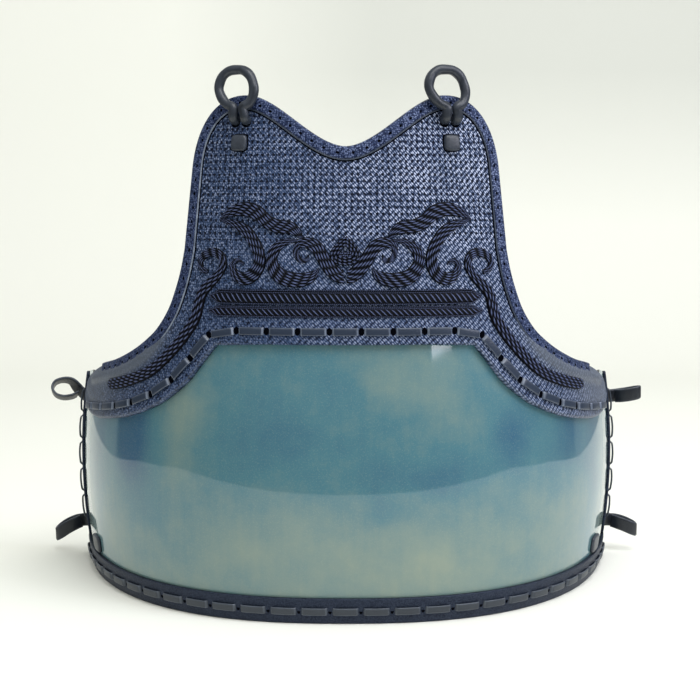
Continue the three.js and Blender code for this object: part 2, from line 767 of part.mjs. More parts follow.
function wingPoint({ along, across, wide }) {
  const low = lowerCurve.getPointAt(along);
  const top = armholeCurve.getPointAt(along);
  return [
    THREE.MathUtils.lerp(low.x, top.x, across),
    THREE.MathUtils.lerp(low.y, top.y, across),
    (wide * WING_BAND_WIDTH) / 2,
  ];
}

function makeWingBand(side) {
  const ring = RING.map(({ out, up, wide }) => [
    out * SCROLL_GIRTH, SCROLL_BASE + up * SCROLL_RISE, (wide * WING_BAND_WIDTH) / 2,
  ]);
  const points = [...ring, ...WING_RUN.map(wingPoint)];
  return makeStrip(smoothPath(side < 0 ? mirrored(points) : points, CORD_STEP), reliefSection);
}

// Centre bud: a pointed oval with chamfered sides
function makeBud() {
  const bud = new THREE.Shape();
  const tip = BUD_HEIGHT + BUD_RISE / 2;
  const root = BUD_HEIGHT - BUD_RISE / 2;
  const side = BUD_WIDTH / 2;
  bud.moveTo(0, root);
  bud.quadraticCurveTo(side, root + 0.1 * BUD_RISE, side, BUD_HEIGHT);
  bud.quadraticCurveTo(0.8 * side, tip - 0.25 * BUD_RISE, 0, tip);
  bud.quadraticCurveTo(-0.8 * side, tip - 0.25 * BUD_RISE, -side, BUD_HEIGHT);
  bud.quadraticCurveTo(-side, root + 0.1 * BUD_RISE, 0, root);
  const chamfer = 0.9;
  const flat = new THREE.ExtrudeGeometry(bud, {
    depth: CORD_RELIEF - chamfer,
    curveSegments: 4,
    bevelSize: chamfer,
    bevelOffset: -chamfer,
    bevelThickness: chamfer,
    bevelSegments: 1,
  });
  flat.translate(0, 0, RELIEF_SEAT + chamfer);
  return bent(flat);
}

// Shoulder loops: a round cord up from one foot, round a ring and down to the other foot
const footLift = SEAT_GAP + 2 * GAP;
const loopLift = PLATE_FACE + GAP + EDGE_LEATHER + GAP + LOOP_CORD / 2;
// The ring leans to the left on both sides, as the cords lie in use
const LOOP_SHARES = [
  { out: 0.27, up: 0.24 },
  { out: 0.62, up: 0.32 },
  { out: 0.9, up: 0.47 },
  { out: 1, up: 0.65 },
  { out: 0.8, up: 0.87 },
  { out: 0.42, up: 0.98 },
];

function makeShoulderLoop(side) {
  const rise = LOOP_RISE;
  const bend = LOOP_CORD / 2;
  const ringLift = loopLift + 0.17 * bend;
  const half = [
    [LOOP_FOOT_SPREAD, 0, footLift],
    [LOOP_FOOT_SPREAD, 0, 0.5 * PLATE_FACE],
    [LOOP_FOOT_SPREAD, 0, PLATE_FACE + 0.28 * bend],
    [LOOP_FOOT_SPREAD, 0.4 * bend, loopLift - 0.34 * bend],
    [0.92 * LOOP_FOOT_SPREAD, 1.5 * bend, loopLift + 0.06 * bend],
    ...LOOP_SHARES.map(({ out, up }) => [out * LOOP_HALF_WIDTH, up * rise, ringLift]),
  ];
  const path = [...half, [0, rise, ringLift], ...mirrored(half).reverse()];
  const points = path.map(([out, up, lift]) => {
    const lean = LOOP_LEAN * THREE.MathUtils.smoothstep(up / rise, 0.1, 0.8);
    return onTrunk(side * LOOP_GIRTH + out - lean, LOOP_FOOT_HEIGHT + up, lift);
  });
  const section = new THREE.Shape();
  section.absarc(0, 0, LOOP_CORD / 2, 0, 2 * Math.PI);
  const tube = new THREE.ExtrudeGeometry(section, {
    steps: 28,
    curveSegments: 4,
    bevelEnabled: false,
    extrudePath: new THREE.CatmullRomCurve3(points, false, 'centripetal'),
  });
  tube.deleteAttribute('normal');
  tube.deleteAttribute('uv');
  return mergeVertices(tube, 1e-3);
}

// Square stub below each shoulder loop
function makeStub(side) {
  const corner = 2.4;
  const half = STUB_WIDTH / 2;
  const rise = STUB_RISE / 2;
  const outline = new THREE.Shape();
  outline.moveTo(corner - half, -rise);
  outline.lineTo(half - corner, -rise);
  outline.quadraticCurveTo(half, -rise, half, corner - rise);
  outline.lineTo(half, rise - corner);
  outline.quadraticCurveTo(half, rise, half - corner, rise);
  outline.lineTo(corner - half, rise);
  outline.quadraticCurveTo(-half, rise, -half, rise - corner);
  outline.lineTo(-half, corner - rise);
  outline.quadraticCurveTo(-half, -rise, corner - half, -rise);
  const chamfer = 0.8;
  const flat = new THREE.ExtrudeGeometry(outline, {
    depth: STUB_THICK - 2 * chamfer,
    curveSegments: 3,
    bevelSize: chamfer,
    bevelOffset: -chamfer,
    bevelThickness: chamfer,
    bevelSegments: 1,
  });
  flat.translate(side * LOOP_GIRTH, STUB_HEIGHT, RELIEF_SEAT + chamfer);
  return bent(flat);
}

// Side loops: a flat strap from inside the shell, past the back edge, out and back to the edge.
// The rows are shares of the reach outwards and of the opening backwards.
const LOOP_RUN = [
  { out: 0.24, back: 0.62 },
  { out: 0.45, back: 0.94 },
  { out: 0.7, back: 1 },
  { out: 0.92, back: 0.78 },
  { out: 1, back: 0.38 },
  { out: 0.9, back: 0 },
  { out: 0.68, back: -0.12 },
  { out: 0.45, back: -0.04 },
  { out: 0.29, back: 0.2 },
];
const tailLift = SHELL_INSIDE - SEAT_GAP - SIDE_LEATHER - STRAP_EASE - STRAP_THICK / 2;

function makeSideLoop({ side, height, opening, tilt, drop, tail }) {
  const { out } = planFrame(side * BACK_GIRTH);
  const outward = new THREE.Vector3(out.x, out.y, 0);
  const backward = new THREE.Vector3(-side * out.y, side * out.x, 0);
  const up = new THREE.Vector3(0, 0, 1);
  const edge = onTrunk(side * BACK_GIRTH, height, 0);
  const clear = SEAT_GAP + SIDE_LEATHER + STRAP_EASE + STRAP_THICK / 2;
  const path = [];
  const TAIL_STEPS = 4;
  for (let k = 0; k <= TAIL_STEPS; k += 1) {
    const girth = BACK_GIRTH - tail * (1 - k / TAIL_STEPS);
    path.push(onTrunk(side * girth, height, tailLift));
  }
  const TURN_STEPS = 4;
  const turned = path.length + TURN_STEPS;
  const around = (o, b) => edge.clone().addScaledVector(outward, o).addScaledVector(backward, b);
  path.push(around(tailLift, SIDE_LEATHER));
  path.push(around(tailLift + 0.27 * STRAP_THICK, clear));
  path.push(around(tailLift + 1.18 * STRAP_THICK, clear + 0.32 * STRAP_THICK));
  path.push(around(0, clear + 0.91 * STRAP_THICK));
  for (const { out: o, back } of LOOP_RUN) {
    const b = back * opening;
    const turn = back > 0.7 || o > 0.6 ? tilt : 0.5 * tilt;
    const point = around(o * STRAP_REACH, clear - 0.27 * STRAP_THICK + b * Math.cos(turn));
    path.push(point.addScaledVector(up, b * Math.sin(turn) - drop * o * o));
  }
  const curve = new THREE.CatmullRomCurve3(path, false, 'centripetal');
  const steps = 26;
  const rings = [];
  const outline = [[-1, -1], [1, -1], [1, 1], [-1, 1]];
  for (let k = 0; k <= steps; k += 1) {
    const at = curve.getUtoTmapping(k / steps);
    const centre = curve.getPoint(at);
    const along = curve.getTangent(at).normalize();
    const share = THREE.MathUtils.smoothstep(at * (path.length - 1), turned - 2, turned + 3);
    const lean = share * tilt;
    const width = up.clone().multiplyScalar(Math.cos(lean)).addScaledVector(backward, -Math.sin(lean));
    width.addScaledVector(along, -width.dot(along)).normalize();
    const thick = new THREE.Vector3().crossVectors(along, width);
    rings.push(outline.map(([a, b]) => centre.clone()
      .addScaledVector(width, (a * STRAP_WIDTH) / 2)
      .addScaledVector(thick, (b * STRAP_THICK) / 2)));
  }
  return makeLoft(rings, outline);
}

const makeUpperLoop = (row) => makeSideLoop({ ...row, height: UPPER_STRAP_HEIGHT, tail: STRAP_TAIL });

// The lower side loops pass through a slit and end in a tab on the outer face of the shell
function makeLowerLoop(row) {
  const tail = BACK_GIRTH - TAB_GIRTH + SLIT_LENGTH / 2;
  const strap = makeSideLoop({ ...row, height: LOWER_STRAP_HEIGHT, tail });
  const seat = tabPlace(row.side);
  const neck = makePlug(seat, SLIT_LENGTH, STRAP_WIDTH, tailLift, SEAT_GAP + TAB_THICK / 2);
  const tab = makePlug(seat, TAB_LENGTH, STRAP_WIDTH + 2, SEAT_GAP, SEAT_GAP + TAB_THICK);
  return joined([strap, neck, tab]);
}

const UPPER_LOOPS = {
  side_loop_upper_left: { side: -1, opening: 14, tilt: 1.1, drop: -2 },
  side_loop_upper_right: { side: 1, opening: 9, tilt: 0, drop: -4 },
};
const LOWER_LOOPS = {
  side_loop_lower_left: { side: -1, opening: 9, tilt: 0, drop: 12 },
  side_loop_lower_right: { side: 1, opening: 9, tilt: 0, drop: 8 },
};

// Materials
const lacquer = new THREE.MeshStandardMaterial({ color: 0x54707a, roughness: 0.12, metalness: 0 });
const leather = new THREE.MeshStandardMaterial({ color: 0x1c2233, roughness: 0.5, metalness: 0 });
const cordage = new THREE.MeshStandardMaterial({ color: 0x12172a, roughness: 0.7, metalness: 0 });
const laceLeather = new THREE.MeshStandardMaterial({ color: 0x25262e, roughness: 0.45, metalness: 0 });

// The assembly
const breastplate = new THREE.Group();

function addPiece(name, body, material) {
  let geometry = body;
  if (!body.isBufferGeometry) {
    geometry = new THREE.BufferGeometry().setFromPoints(body.points);
    geometry.setIndex(body.triangles.flat());
  }
  geometry.computeVertexNormals();
  const mesh = new THREE.Mesh(geometry, material);
  mesh.name = name;
  breastplate.add(mesh);
}

addPiece('torso_shell', shell, lacquer);
addPiece('chest_plate', plate, leather);
addPiece('chest_edge_binding', edgeBinding, leather);
addPiece('upper_band', makeBand(UPPER_BAND_HEIGHT, UPPER_BAND_WIDTH), cordage);
addPiece('lower_band', makeBand(LOWER_BAND_HEIGHT, LOWER_BAND_WIDTH), cordage);
addPiece('centre_motif', makeBud(), cordage);
addPiece('chest_lace', chestLace, laceLeather);
addPiece('bottom_binding', bottomBinding, leather);
addPiece('bottom_lace', bottomLace, laceLeather);
for (const [word, side] of [['left', -1], ['right', 1]]) {
  addPiece(`wing_band_${word}`, makeWingBand(side), cordage);
  addPiece(`scroll_${word}`, makeScroll(side), cordage);
  addPiece(`side_binding_${word}`, makeSideBinding(side), leather);
  addPiece(`side_lace_${word}`, makeSideLace(side), laceLeather);
  addPiece(`shoulder_loop_${word}`, makeShoulderLoop(side), laceLeather);
  addPiece(`loop_stub_${word}`, makeStub(side), laceLeather);
}
for (const [name, row] of Object.entries(UPPER_LOOPS)) addPiece(name, makeUpperLoop(row), laceLeather);
for (const [name, row] of Object.entries(LOWER_LOOPS)) addPiece(name, makeLowerLoop(row), laceLeather);

// The origin is on the ground under the middle of the whole object
breastplate.updateMatrixWorld(true);
const bounds = new THREE.Box3().setFromObject(breastplate, true);
const centre = bounds.getCenter(new THREE.Vector3());
breastplate.position.set(-centre.x, -centre.y, -bounds.min.z);
breastplate.updateMatrixWorld(true);

export default breastplate;
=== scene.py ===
# %% [markdown]
# # A kendo breastplate
# A hard lacquered shell goes round the trunk. A leather chest piece is laced over its top and carries
# raised cord scrolls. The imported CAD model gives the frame, and every CAD piece is replaced here by a finer
# one. Each piece is drawn flat, by its girth (distance round the trunk) and its height in millimetres, and
# is then bent over one trunk surface. Lift is the distance out from that surface.

import bmesh
import bpy
import numpy as np
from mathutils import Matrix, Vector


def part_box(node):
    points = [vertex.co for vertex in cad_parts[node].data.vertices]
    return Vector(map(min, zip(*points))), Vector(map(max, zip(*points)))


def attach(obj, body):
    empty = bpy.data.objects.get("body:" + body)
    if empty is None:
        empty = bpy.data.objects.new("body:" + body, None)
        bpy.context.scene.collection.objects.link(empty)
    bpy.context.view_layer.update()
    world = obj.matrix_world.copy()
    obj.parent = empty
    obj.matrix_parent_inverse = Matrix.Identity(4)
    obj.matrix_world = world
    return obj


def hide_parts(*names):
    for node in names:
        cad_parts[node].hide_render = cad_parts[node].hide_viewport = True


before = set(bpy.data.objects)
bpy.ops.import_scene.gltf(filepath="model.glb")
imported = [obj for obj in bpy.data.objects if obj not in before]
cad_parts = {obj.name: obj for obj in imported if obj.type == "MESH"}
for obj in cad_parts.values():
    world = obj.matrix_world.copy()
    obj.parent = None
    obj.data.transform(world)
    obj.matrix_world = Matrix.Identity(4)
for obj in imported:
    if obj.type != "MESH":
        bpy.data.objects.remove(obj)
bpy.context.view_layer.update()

MM = 0.001

PLAN_HALF_WIDTH = 220
PLAN_HALF_DEPTH = 297
PLAN_SQUARENESS = 2.4
TRUNK_DEPTH = 204
BULGE = 7.5
BULGE_HEIGHT = 85
LEAN_START = 165

GAP = 0.3
SEAT_GAP = 0.4
SHELL_THICK = 5
SHELL_OVERLAP = 28
PLATE_THICK = 4.6
PLATE_FACE = SEAT_GAP + PLATE_THICK
PLATE_HEIGHT = 372.4
NECK_HEIGHT = 335.9
PEAK_GIRTH = 82.4
BIB_GIRTH = 127
SHOULDER_DROP = 51
ARMHOLE_HEIGHT = 264
LOWER_EDGE_HEIGHT = 198.7
CORNER_GIRTH = 94
WING_LOW_HEIGHT = 128
WING_TOP_HEIGHT = 168.2
WING_SHORT = 57.6
EAR_LENGTH = 58

EDGE_WIDTH = 7.4
EDGE_LEATHER = 1.2
EDGE_END_GIRTH = 222
BINDING_HEIGHT = 19
BINDING_LEATHER = 2.4
SIDE_WIDTH = 12
SIDE_LEATHER = 2

BAND_GIRTH = 101
BAND_TAPER = 9
ROW_PITCH = 13
ROW_CROWN = 0.8
UPPER_BAND_HEIGHT = 231.9
UPPER_BAND_WIDTH = 10.6
LOWER_BAND_HEIGHT = 221.8
LOWER_BAND_WIDTH = 7.6
SCROLL_GIRTH = 112
SCROLL_BASE = 244
SCROLL_RISE = 50
STROKE_WIDTH = 9
WING_BAND_WIDTH = 8.4
BUD_HEIGHT = 264.4
BUD_WIDTH = 22
BUD_RISE = 21

LACE_WIDTH = 5.4
LACE_THICK = 1.5
LACE_PITCH = 22.4
LACE_INSET = 9.4
LACE_END = 12
BOTTOM_LACE_HEIGHT = 9.6

LOOP_CORD = 7
LOOP_GIRTH = 84.5
LOOP_FOOT_HEIGHT = 356
LOOP_FOOT_SPREAD = 5
LOOP_RISE = 35.5
LOOP_LEAN = 4
LOOP_HALF_WIDTH = 15.8
STUB_HEIGHT = 340
STUB_WIDTH = 13.2
STUB_RISE = 11.4
STUB_THICK = 3.6

STRAP_WIDTH = 11
STRAP_THICK = 2.2
STRAP_EASE = 1
STRAP_REACH = 29
STRAP_TAIL = 38
UPPER_STRAP_HEIGHT = 134
LOWER_STRAP_HEIGHT = 27
TAB_GIRTH = 250
TAB_LENGTH = 20
TAB_THICK = 2.6

# %% [markdown]
# ## The trunk surface
# The plan is a superellipse read by arc length. The swell with height is an arch that turns into a straight
# lean. The shift from the drawing to the frame is read off the bottom strip of the CAD model.

# %% Trunk surface
turns = np.linspace(0, np.pi / 2, 3001)[:-1]
plan_x = PLAN_HALF_WIDTH * np.sin(turns) ** (2 / PLAN_SQUARENESS)
plan_y = -PLAN_HALF_DEPTH * np.cos(turns) ** (2 / PLAN_SQUARENESS)
plan_girth = np.concatenate([[0], np.cumsum(np.hypot(np.diff(plan_x), np.diff(plan_y)))])
BACK_GIRTH = np.interp(TRUNK_DEPTH - PLAN_HALF_DEPTH, plan_y, plan_girth)
WING_END = BACK_GIRTH - WING_SHORT


def swell(height):
    """Distance out from the plan: BULGE (1 - ((z - z0) / z0)^2) up to LEAN_START, then the tangent line."""
    def arch(z):
        return BULGE * (1 - ((z - BULGE_HEIGHT) / BULGE_HEIGHT) ** 2)

    slope = -2 * BULGE * (LEAN_START - BULGE_HEIGHT) / BULGE_HEIGHT**2
    return np.where(height < LEAN_START, arch(height), arch(LEAN_START) + slope * (height - LEAN_START))


strip_low, strip_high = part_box("bottom_binding")
SHIFT_X = (strip_low.x + strip_high.x) / 2 / MM
SHIFT_Y = strip_low.y / MM + PLAN_HALF_DEPTH + float(swell(BINDING_HEIGHT)) + SEAT_GAP + BINDING_LEATHER


def plan_frame(girth):
    """Plan point and outward direction at a girth, from the chord of 1 mm round it."""
    reach = np.abs(girth)
    side = np.where(girth < 0, -1, 1)
    before = np.maximum(reach - 0.5, 0)
    ahead_x = np.interp(reach + 0.5, plan_girth, plan_x) - np.interp(before, plan_girth, plan_x)
    ahead_y = np.interp(reach + 0.5, plan_girth, plan_y) - np.interp(before, plan_girth, plan_y)
    length = np.hypot(ahead_x, ahead_y)
    point = np.stack([side * np.interp(reach, plan_girth, plan_x), np.interp(reach, plan_girth, plan_y)], -1)
    out = np.stack([side * ahead_y / length, -ahead_x / length], -1)
    return point, out


def on_trunk(girth, height, lift):
    """Points in the frame, in metres: plan point + outward direction x (swell + lift), at that height."""
    girth, height, lift = np.broadcast_arrays(*(np.asarray(v, float) for v in (girth, height, lift)))
    point, out = plan_frame(girth)
    away = (swell(height) + lift)[..., None]
    flat = point + out * away + [SHIFT_X, SHIFT_Y]
    return np.concatenate([flat, height[..., None]], -1) * MM


print(f"back edge at girth {BACK_GIRTH:.1f} mm, shift {SHIFT_X:.2f} {SHIFT_Y:.2f} mm")

# %% [markdown]
# ## Curves
# Paths are smooth curves through a few points, sampled evenly by length. A table is rows of numbers under
# the names of its columns.


# %% Curves
def smooth_path(points, step=None, count=None):
    """Centripetal Catmull-Rom through the points, as cubic Hermite pieces, then even steps by length."""
    points = np.asarray(points, float)
    p = np.vstack([2 * points[0] - points[1], points, 2 * points[-1] - points[-2]])
    spans = np.linalg.norm(np.diff(p, axis=0), axis=1) ** 0.5
    p0, p1, p2, p3 = p[:-3], p[1:-2], p[2:-1], p[3:]
    d0, d1, d2 = spans[:-2, None], spans[1:-1, None], spans[2:, None]
    t1 = ((p1 - p0) / d0 - (p2 - p0) / (d0 + d1) + (p2 - p1) / d1) * d1
    t2 = ((p2 - p1) / d1 - (p3 - p1) / (d1 + d2) + (p3 - p2) / d2) * d1
    u = np.linspace(0, 1, 40, endpoint=False)[None, :, None]
    start = (2 * u**3 - 3 * u**2 + 1) * p1[:, None] + (u**3 - 2 * u**2 + u) * t1[:, None]
    end = (3 * u**2 - 2 * u**3) * p2[:, None] + (u**3 - u**2) * t2[:, None]
    fine = np.vstack([(start + end).reshape(-1, points.shape[1]), points[-1]])
    run = run_length(fine)
    total = count or max(2, round(run[-1] / step)) + 1
    even = np.linspace(0, run[-1], total)
    return np.stack([np.interp(even, run, column) for column in fine.T], -1)


def run_length(points):
    """Distance along a path to each of its points."""
    return np.concatenate([[0], np.cumsum(np.linalg.norm(np.diff(points, axis=0), axis=1))])


def even_path(points, step):
    """The same path with points at even steps of its (girth, height) length."""
    run = run_length(points[:, :2])
    even = np.linspace(0, run[-1], max(2, round(run[-1] / step)) + 1)
    return np.stack([np.interp(even, run, column) for column in points.T], -1)


def directions(path):
    """Unit direction along a flat path at each point."""
    along = np.gradient(path[:, :2], axis=0)
    return along / np.linalg.norm(along, axis=1, keepdims=True)


def sideways(path, distance):
    """A flat path shifted to its left side by a distance, a number or one for each point."""
    along = directions(path)
    across = np.stack([-along[:, 1], along[:, 0]], -1)
    return path[:, :2] + across * np.broadcast_to(distance, len(path))[:, None]


def named_rows(columns, *rows):
    """Rows of a table as dictionaries; columns holds the names of its columns."""
    return [dict(zip(columns.split(), row)) for row in rows]


def smoothstep(value, low, high):
    """0 below low, 1 above high, 3u^2 - 2u^3 between."""
    u = np.clip((value - low) / (high - low), 0, 1)
    return u * u * (3 - 2 * u)


# %% [markdown]
# ## Meshes
# A surface is a grid of points with its flat coordinates, so that patterns are laid out in real
# millimetres, and a tone between 0 and 1 that the materials read. Several grids make one piece.


# %% Mesh helpers
def grid(points, closed=False, caps=False, flat=None, tone=0.0):
    """One surface: points (n, m, 3); closed joins the last column to the first; caps closes both ends."""
    size = points.shape[:2]
    if flat is None:
        flat = np.stack(np.meshgrid(np.arange(size[0]), np.arange(size[1]), indexing="ij"), -1)
    return {
        "points": points,
        "closed": closed,
        "caps": caps,
        "flat": np.broadcast_to(flat, (*size, 2)),
        "tone": np.broadcast_to(tone, size),
    }


def grid_faces(surface, first):
    """Quads of a grid whose points start at an index, and its end caps as polygons."""
    n, m = surface["points"].shape[:2]
    index = np.arange(n * m).reshape(n, m) + first
    if surface["closed"]:
        index = np.hstack([index, index[:, :1]])
    quads = np.stack([index[:-1, :-1], index[1:, :-1], index[1:, 1:], index[:-1, 1:]], -1)
    quads = quads.reshape(-1, 4).tolist()
    caps = [index[0, :m].tolist(), index[-1, :m].tolist()] if surface["caps"] else []
    return quads + caps


def make_piece(name, grids, material, nodes=()):
    """One object from several grids, shaded smooth, with the UV map Flat in metres and the attribute tone."""
    faces = []
    first = 0
    for surface in grids:
        faces += grid_faces(surface, first)
        first += surface["points"].shape[0] * surface["points"].shape[1]
    points = np.vstack([surface["points"].reshape(-1, 3) for surface in grids])
    flat = np.vstack([surface["flat"].reshape(-1, 2) for surface in grids]) * MM
    tone = np.concatenate([surface["tone"].ravel() for surface in grids]).astype(np.float32)

    mesh = bpy.data.meshes.new(name)
    mesh.from_pydata(points.tolist(), [], faces)
    corners = np.empty(len(mesh.loops), np.int32)
    mesh.loops.foreach_get("vertex_index", corners)
    mesh.uv_layers.new(name="Flat").data.foreach_set("uv", flat[corners].astype(np.float32).ravel())
    mesh.attributes.new("tone", "FLOAT", "POINT").data.foreach_set("value", tone)
    mesh.materials.append(material)
    work = bmesh.new()
    work.from_mesh(mesh)
    bmesh.ops.recalc_face_normals(work, faces=work.faces)
    work.to_mesh(mesh)
    work.free()
    mesh.polygons.foreach_set("use_smooth", np.ones(len(mesh.polygons), bool))
    mesh.update()

    obj = bpy.data.objects.new(name, mesh)
    bpy.context.scene.collection.objects.link(obj)
    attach(obj, "root")
    if nodes:
        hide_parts(*nodes)
    print(f"{name}: {len(mesh.polygons)} faces")
    return obj


def sweep(path, section, lift=0.0, tone=0.0):
    """A closed section carried along a flat path: point = path + side x across, at lift + the section's lift.

    section holds (side, lift) in mm, the same all along or one for each point.
    """
    section = np.broadcast_to(section, (len(path), *np.shape(section)[-2:]))
    along = directions(path)
    girth = path[:, 0, None] - along[:, 1, None] * section[..., 0]
    height = path[:, 1, None] + along[:, 0, None] * section[..., 0]
    lifts = section[..., 1] + np.broadcast_to(lift, len(path))[:, None]
    return grid(on_trunk(girth, height, lifts), True, True, np.stack([girth, height], -1), tone)


def twisted_cord(path, radius, lift, pitch, hand=1, start=0.0, plies=2, flat=1.0, sides=9):
    """A twisted cord: r = radius (1 + 0.12 cos(plies (a - 2 pi s / pitch))) at angle a and distance s.

    start shifts s, and flat squashes the thickness. The tone is a painted highlight along the top of each cord,
    strongest on each ply.
    """
    run = run_length(path[:, :2]) + start
    angle = np.linspace(0, 2 * np.pi, sides, endpoint=False)
    ply = plies * (angle[None] - hand * 2 * np.pi * run[:, None] / pitch)
    r = np.broadcast_to(radius, len(path))[:, None] * (1 + 0.12 * np.cos(ply))
    section = np.stack([r * np.cos(angle), flat * r * np.sin(angle)], -1)
    # Painted highlight along the top of each cord, strongest on the plies.
    crown_highlight = smoothstep(np.sin(angle), 0.1 if plies > 2 else 0.6, 1.0)
    ply_highlight = smoothstep(np.cos(ply), 0.35, 1.0) if plies > 2 else 0.6 + 0.4 * np.cos(ply)
    return sweep(path, section, lift, tone=crown_highlight * ply_highlight)


def cord_rows(path, half_width, rows, seat):
    """Twisted cords side by side over a flat base; lift = seat + ROW_CROWN (1 - place^2) + radius."""
    half_width = np.broadcast_to(half_width, len(path))
    pieces = []
    base = np.array([[-1.12, 0], [1.12, 0], [0.96, 0.7], [-0.96, 0.7]])
    section = base[None] * np.stack([half_width, np.ones(len(path))], -1)[:, None]
    pieces.append(sweep(path, section, seat))
    for k in range(rows):
        place = (2 * k + 1) / rows - 1
        radius = half_width / rows * 1.06
        line = np.hstack([sideways(path, place * half_width * 0.97), half_width[:, None]])
        lift = seat + ROW_CROWN * (1 - place**2) + np.minimum(radius, 1.15)
        pieces.append(twisted_cord(line, radius, lift, ROW_PITCH, start=3.7 * k, sides=12))
    return pieces


def hole_grids(holes, face, along=2.1, across=2.7):
    """A dark oval of painted shade just above the face at each hole, its half length and half width in mm."""
    pieces = []
    turn = np.linspace(0, 2 * np.pi, 20, endpoint=False)
    way = np.gradient(holes, axis=0)
    way /= np.linalg.norm(way, axis=1, keepdims=True)
    for (girth, height), (a, b) in zip(holes, way):
        forward, side = along * np.cos(turn), across * np.sin(turn)
        ring_girth, ring_height = girth + a * forward - b * side, height + b * forward + a * side
        shares = np.array([0.02, 1])[:, None]
        g = girth + (ring_girth - girth) * shares
        h = height + (ring_height - height) * shares
        pieces.append(grid(on_trunk(g, h, face + 0.12), True))
    return pieces


# %% [markdown]
# ## Outlines of the chest piece
# The real piece is cut to one outline. Its two long edges are tables of shares of a span outwards and a
# fall downwards, so that they follow the named sizes. A share of 0 is the corner, and 1 is the end of the
# wing.

# %% Chest piece outlines
ARMHOLE_SHARES = named_rows(
    "out down",
    (0, 0),
    (0.013, 0.155),
    (0.036, 0.3),
    (0.073, 0.455),
    (0.142, 0.605),
    (0.207, 0.687),
    (0.31, 0.78),
    (0.475, 0.878),
    (0.646, 0.935),
    (0.85, 0.985),
    (1, 1),
)
LOWER_SHARES = named_rows(
    "out down",
    (0, 0.02),
    (0.043, 0.15),
    (0.081, 0.27),
    (0.121, 0.395),
    (0.164, 0.49),
    (0.212, 0.58),
    (0.261, 0.655),
    (0.315, 0.715),
    (0.39, 0.785),
    (0.485, 0.85),
    (0.611, 0.905),
    (0.756, 0.95),
    (0.9, 0.985),
    (1, 1),
)


def share_curve(rows, girth, span, height, fall, count):
    """Smooth curve through a table of shares of a span outwards and a fall downwards."""
    return smooth_path([[girth + r["out"] * span, height - r["down"] * fall] for r in rows], count=count)


lower_fall = LOWER_EDGE_HEIGHT - WING_LOW_HEIGHT
armhole_fall = ARMHOLE_HEIGHT - WING_TOP_HEIGHT
armhole = share_curve(ARMHOLE_SHARES, BIB_GIRTH, WING_END - BIB_GIRTH, ARMHOLE_HEIGHT, armhole_fall, 401)
lower = share_curve(LOWER_SHARES, CORNER_GIRTH, WING_END - CORNER_GIRTH, LOWER_EDGE_HEIGHT, lower_fall, 401)


def at_share(curve, share):
    """Point of an evenly sampled curve at a share of its length."""
    place = np.linspace(0, 1, len(curve))
    return np.stack([np.interp(share, place, curve[:, 0]), np.interp(share, place, curve[:, 1])], -1)


def neckline(share):
    """S curve from the low front centre up to the shoulder peak: u^2 (3 - 2u), u = share^0.93."""
    u = share**0.93
    rise = (PLATE_HEIGHT - NECK_HEIGHT) * u * u * (3 - 2 * u)
    return np.stack([share * PEAK_GIRTH, NECK_HEIGHT + rise], -1)


def shoulder(share):
    """Quarter of a superellipse of power 2.2, then straight down to the armhole."""
    low = PLATE_HEIGHT - SHOULDER_DROP
    turn = np.pi / 2 * np.minimum(share / 0.62, 1)
    power = 2 / 2.2
    girth = PEAK_GIRTH + (BIB_GIRTH - PEAK_GIRTH) * np.sin(turn) ** power
    height = low + SHOULDER_DROP * np.maximum(np.cos(turn), 0) ** power
    fall = np.clip((share - 0.62) / 0.38, 0, 1)
    return np.stack([girth, height + (ARMHOLE_HEIGHT - low) * fall], -1)


def ear_round(girth):
    """The end of the wing closes in as a circle does."""
    into = np.maximum(0, (girth - (WING_END - EAR_LENGTH)) / EAR_LENGTH)
    return np.sqrt(1 - 0.93 * np.minimum(into, 1) ** 2)


NECK_COLUMNS = 40
SHOULDER_COLUMNS = 60
WING_START = NECK_COLUMNS + SHOULDER_COLUMNS


def plate_columns():
    """Lower and top edge of the right half of the chest piece at matching columns."""
    foot = 0.6 * CORNER_GIRTH
    neck = np.linspace(0, 1, NECK_COLUMNS, endpoint=False)
    low = [np.stack([neck * foot, np.full_like(neck, LOWER_EDGE_HEIGHT)], -1)]
    top = [neckline(neck)]
    side = np.linspace(0, 1, SHOULDER_COLUMNS, endpoint=False)
    step = np.stack([foot + (CORNER_GIRTH - foot) * side, LOWER_EDGE_HEIGHT - lower_fall * 0.02 * side], -1)
    low.append(step)
    top.append(shoulder(side))
    wing = np.linspace(0, 1, 150)
    wing_low, wing_top = at_share(lower, wing), at_share(armhole, wing)
    middle = (wing_low[:, 1] + wing_top[:, 1]) / 2
    for edge in (wing_low, wing_top):
        edge[:, 1] = middle + (edge[:, 1] - middle) * ear_round(edge[:, 0])
    low.append(wing_low)
    top.append(wing_top)
    return np.vstack(low), np.vstack(top)


def mirror(points):
    """The same points on the other side of the front centre."""
    return points * np.array([-1] + [1] * (points.shape[-1] - 1))


def both_halves(half):
    """A path from the outer left to the outer right, from its right half."""
    return np.vstack([mirror(half[1:])[::-1], half])


lower_edge = np.vstack([[[0, LOWER_EDGE_HEIGHT], [CORNER_GIRTH - 2, LOWER_EDGE_HEIGHT]], lower])
plate_low, plate_top = plate_columns()
print(f"chest piece: {len(plate_low)} columns a side, wing ends at girth {WING_END:.1f} mm")

# %% [markdown]
# ## Materials
# A material is a small tree of nodes that works out colour and bumps for each point of a surface. Colours
# are written as they look on screen and turned into linear light by one function. Every pattern has its
# size in millimetres, in the flat coordinates of the piece or in object coordinates, so that it never
# slides.


# %% Material helpers
def linear(colour):
    """sRGB hex to linear: c / 12.92 under 0.04045, else ((c + 0.055) / 1.055)^2.4."""
    channels = np.array([int(colour[k:k + 2], 16) / 255 for k in (1, 3, 5)])
    light = np.where(channels < 0.04045, channels / 12.92, ((channels + 0.055) / 1.055) ** 2.4)
    return (*light.tolist(), 1.0)


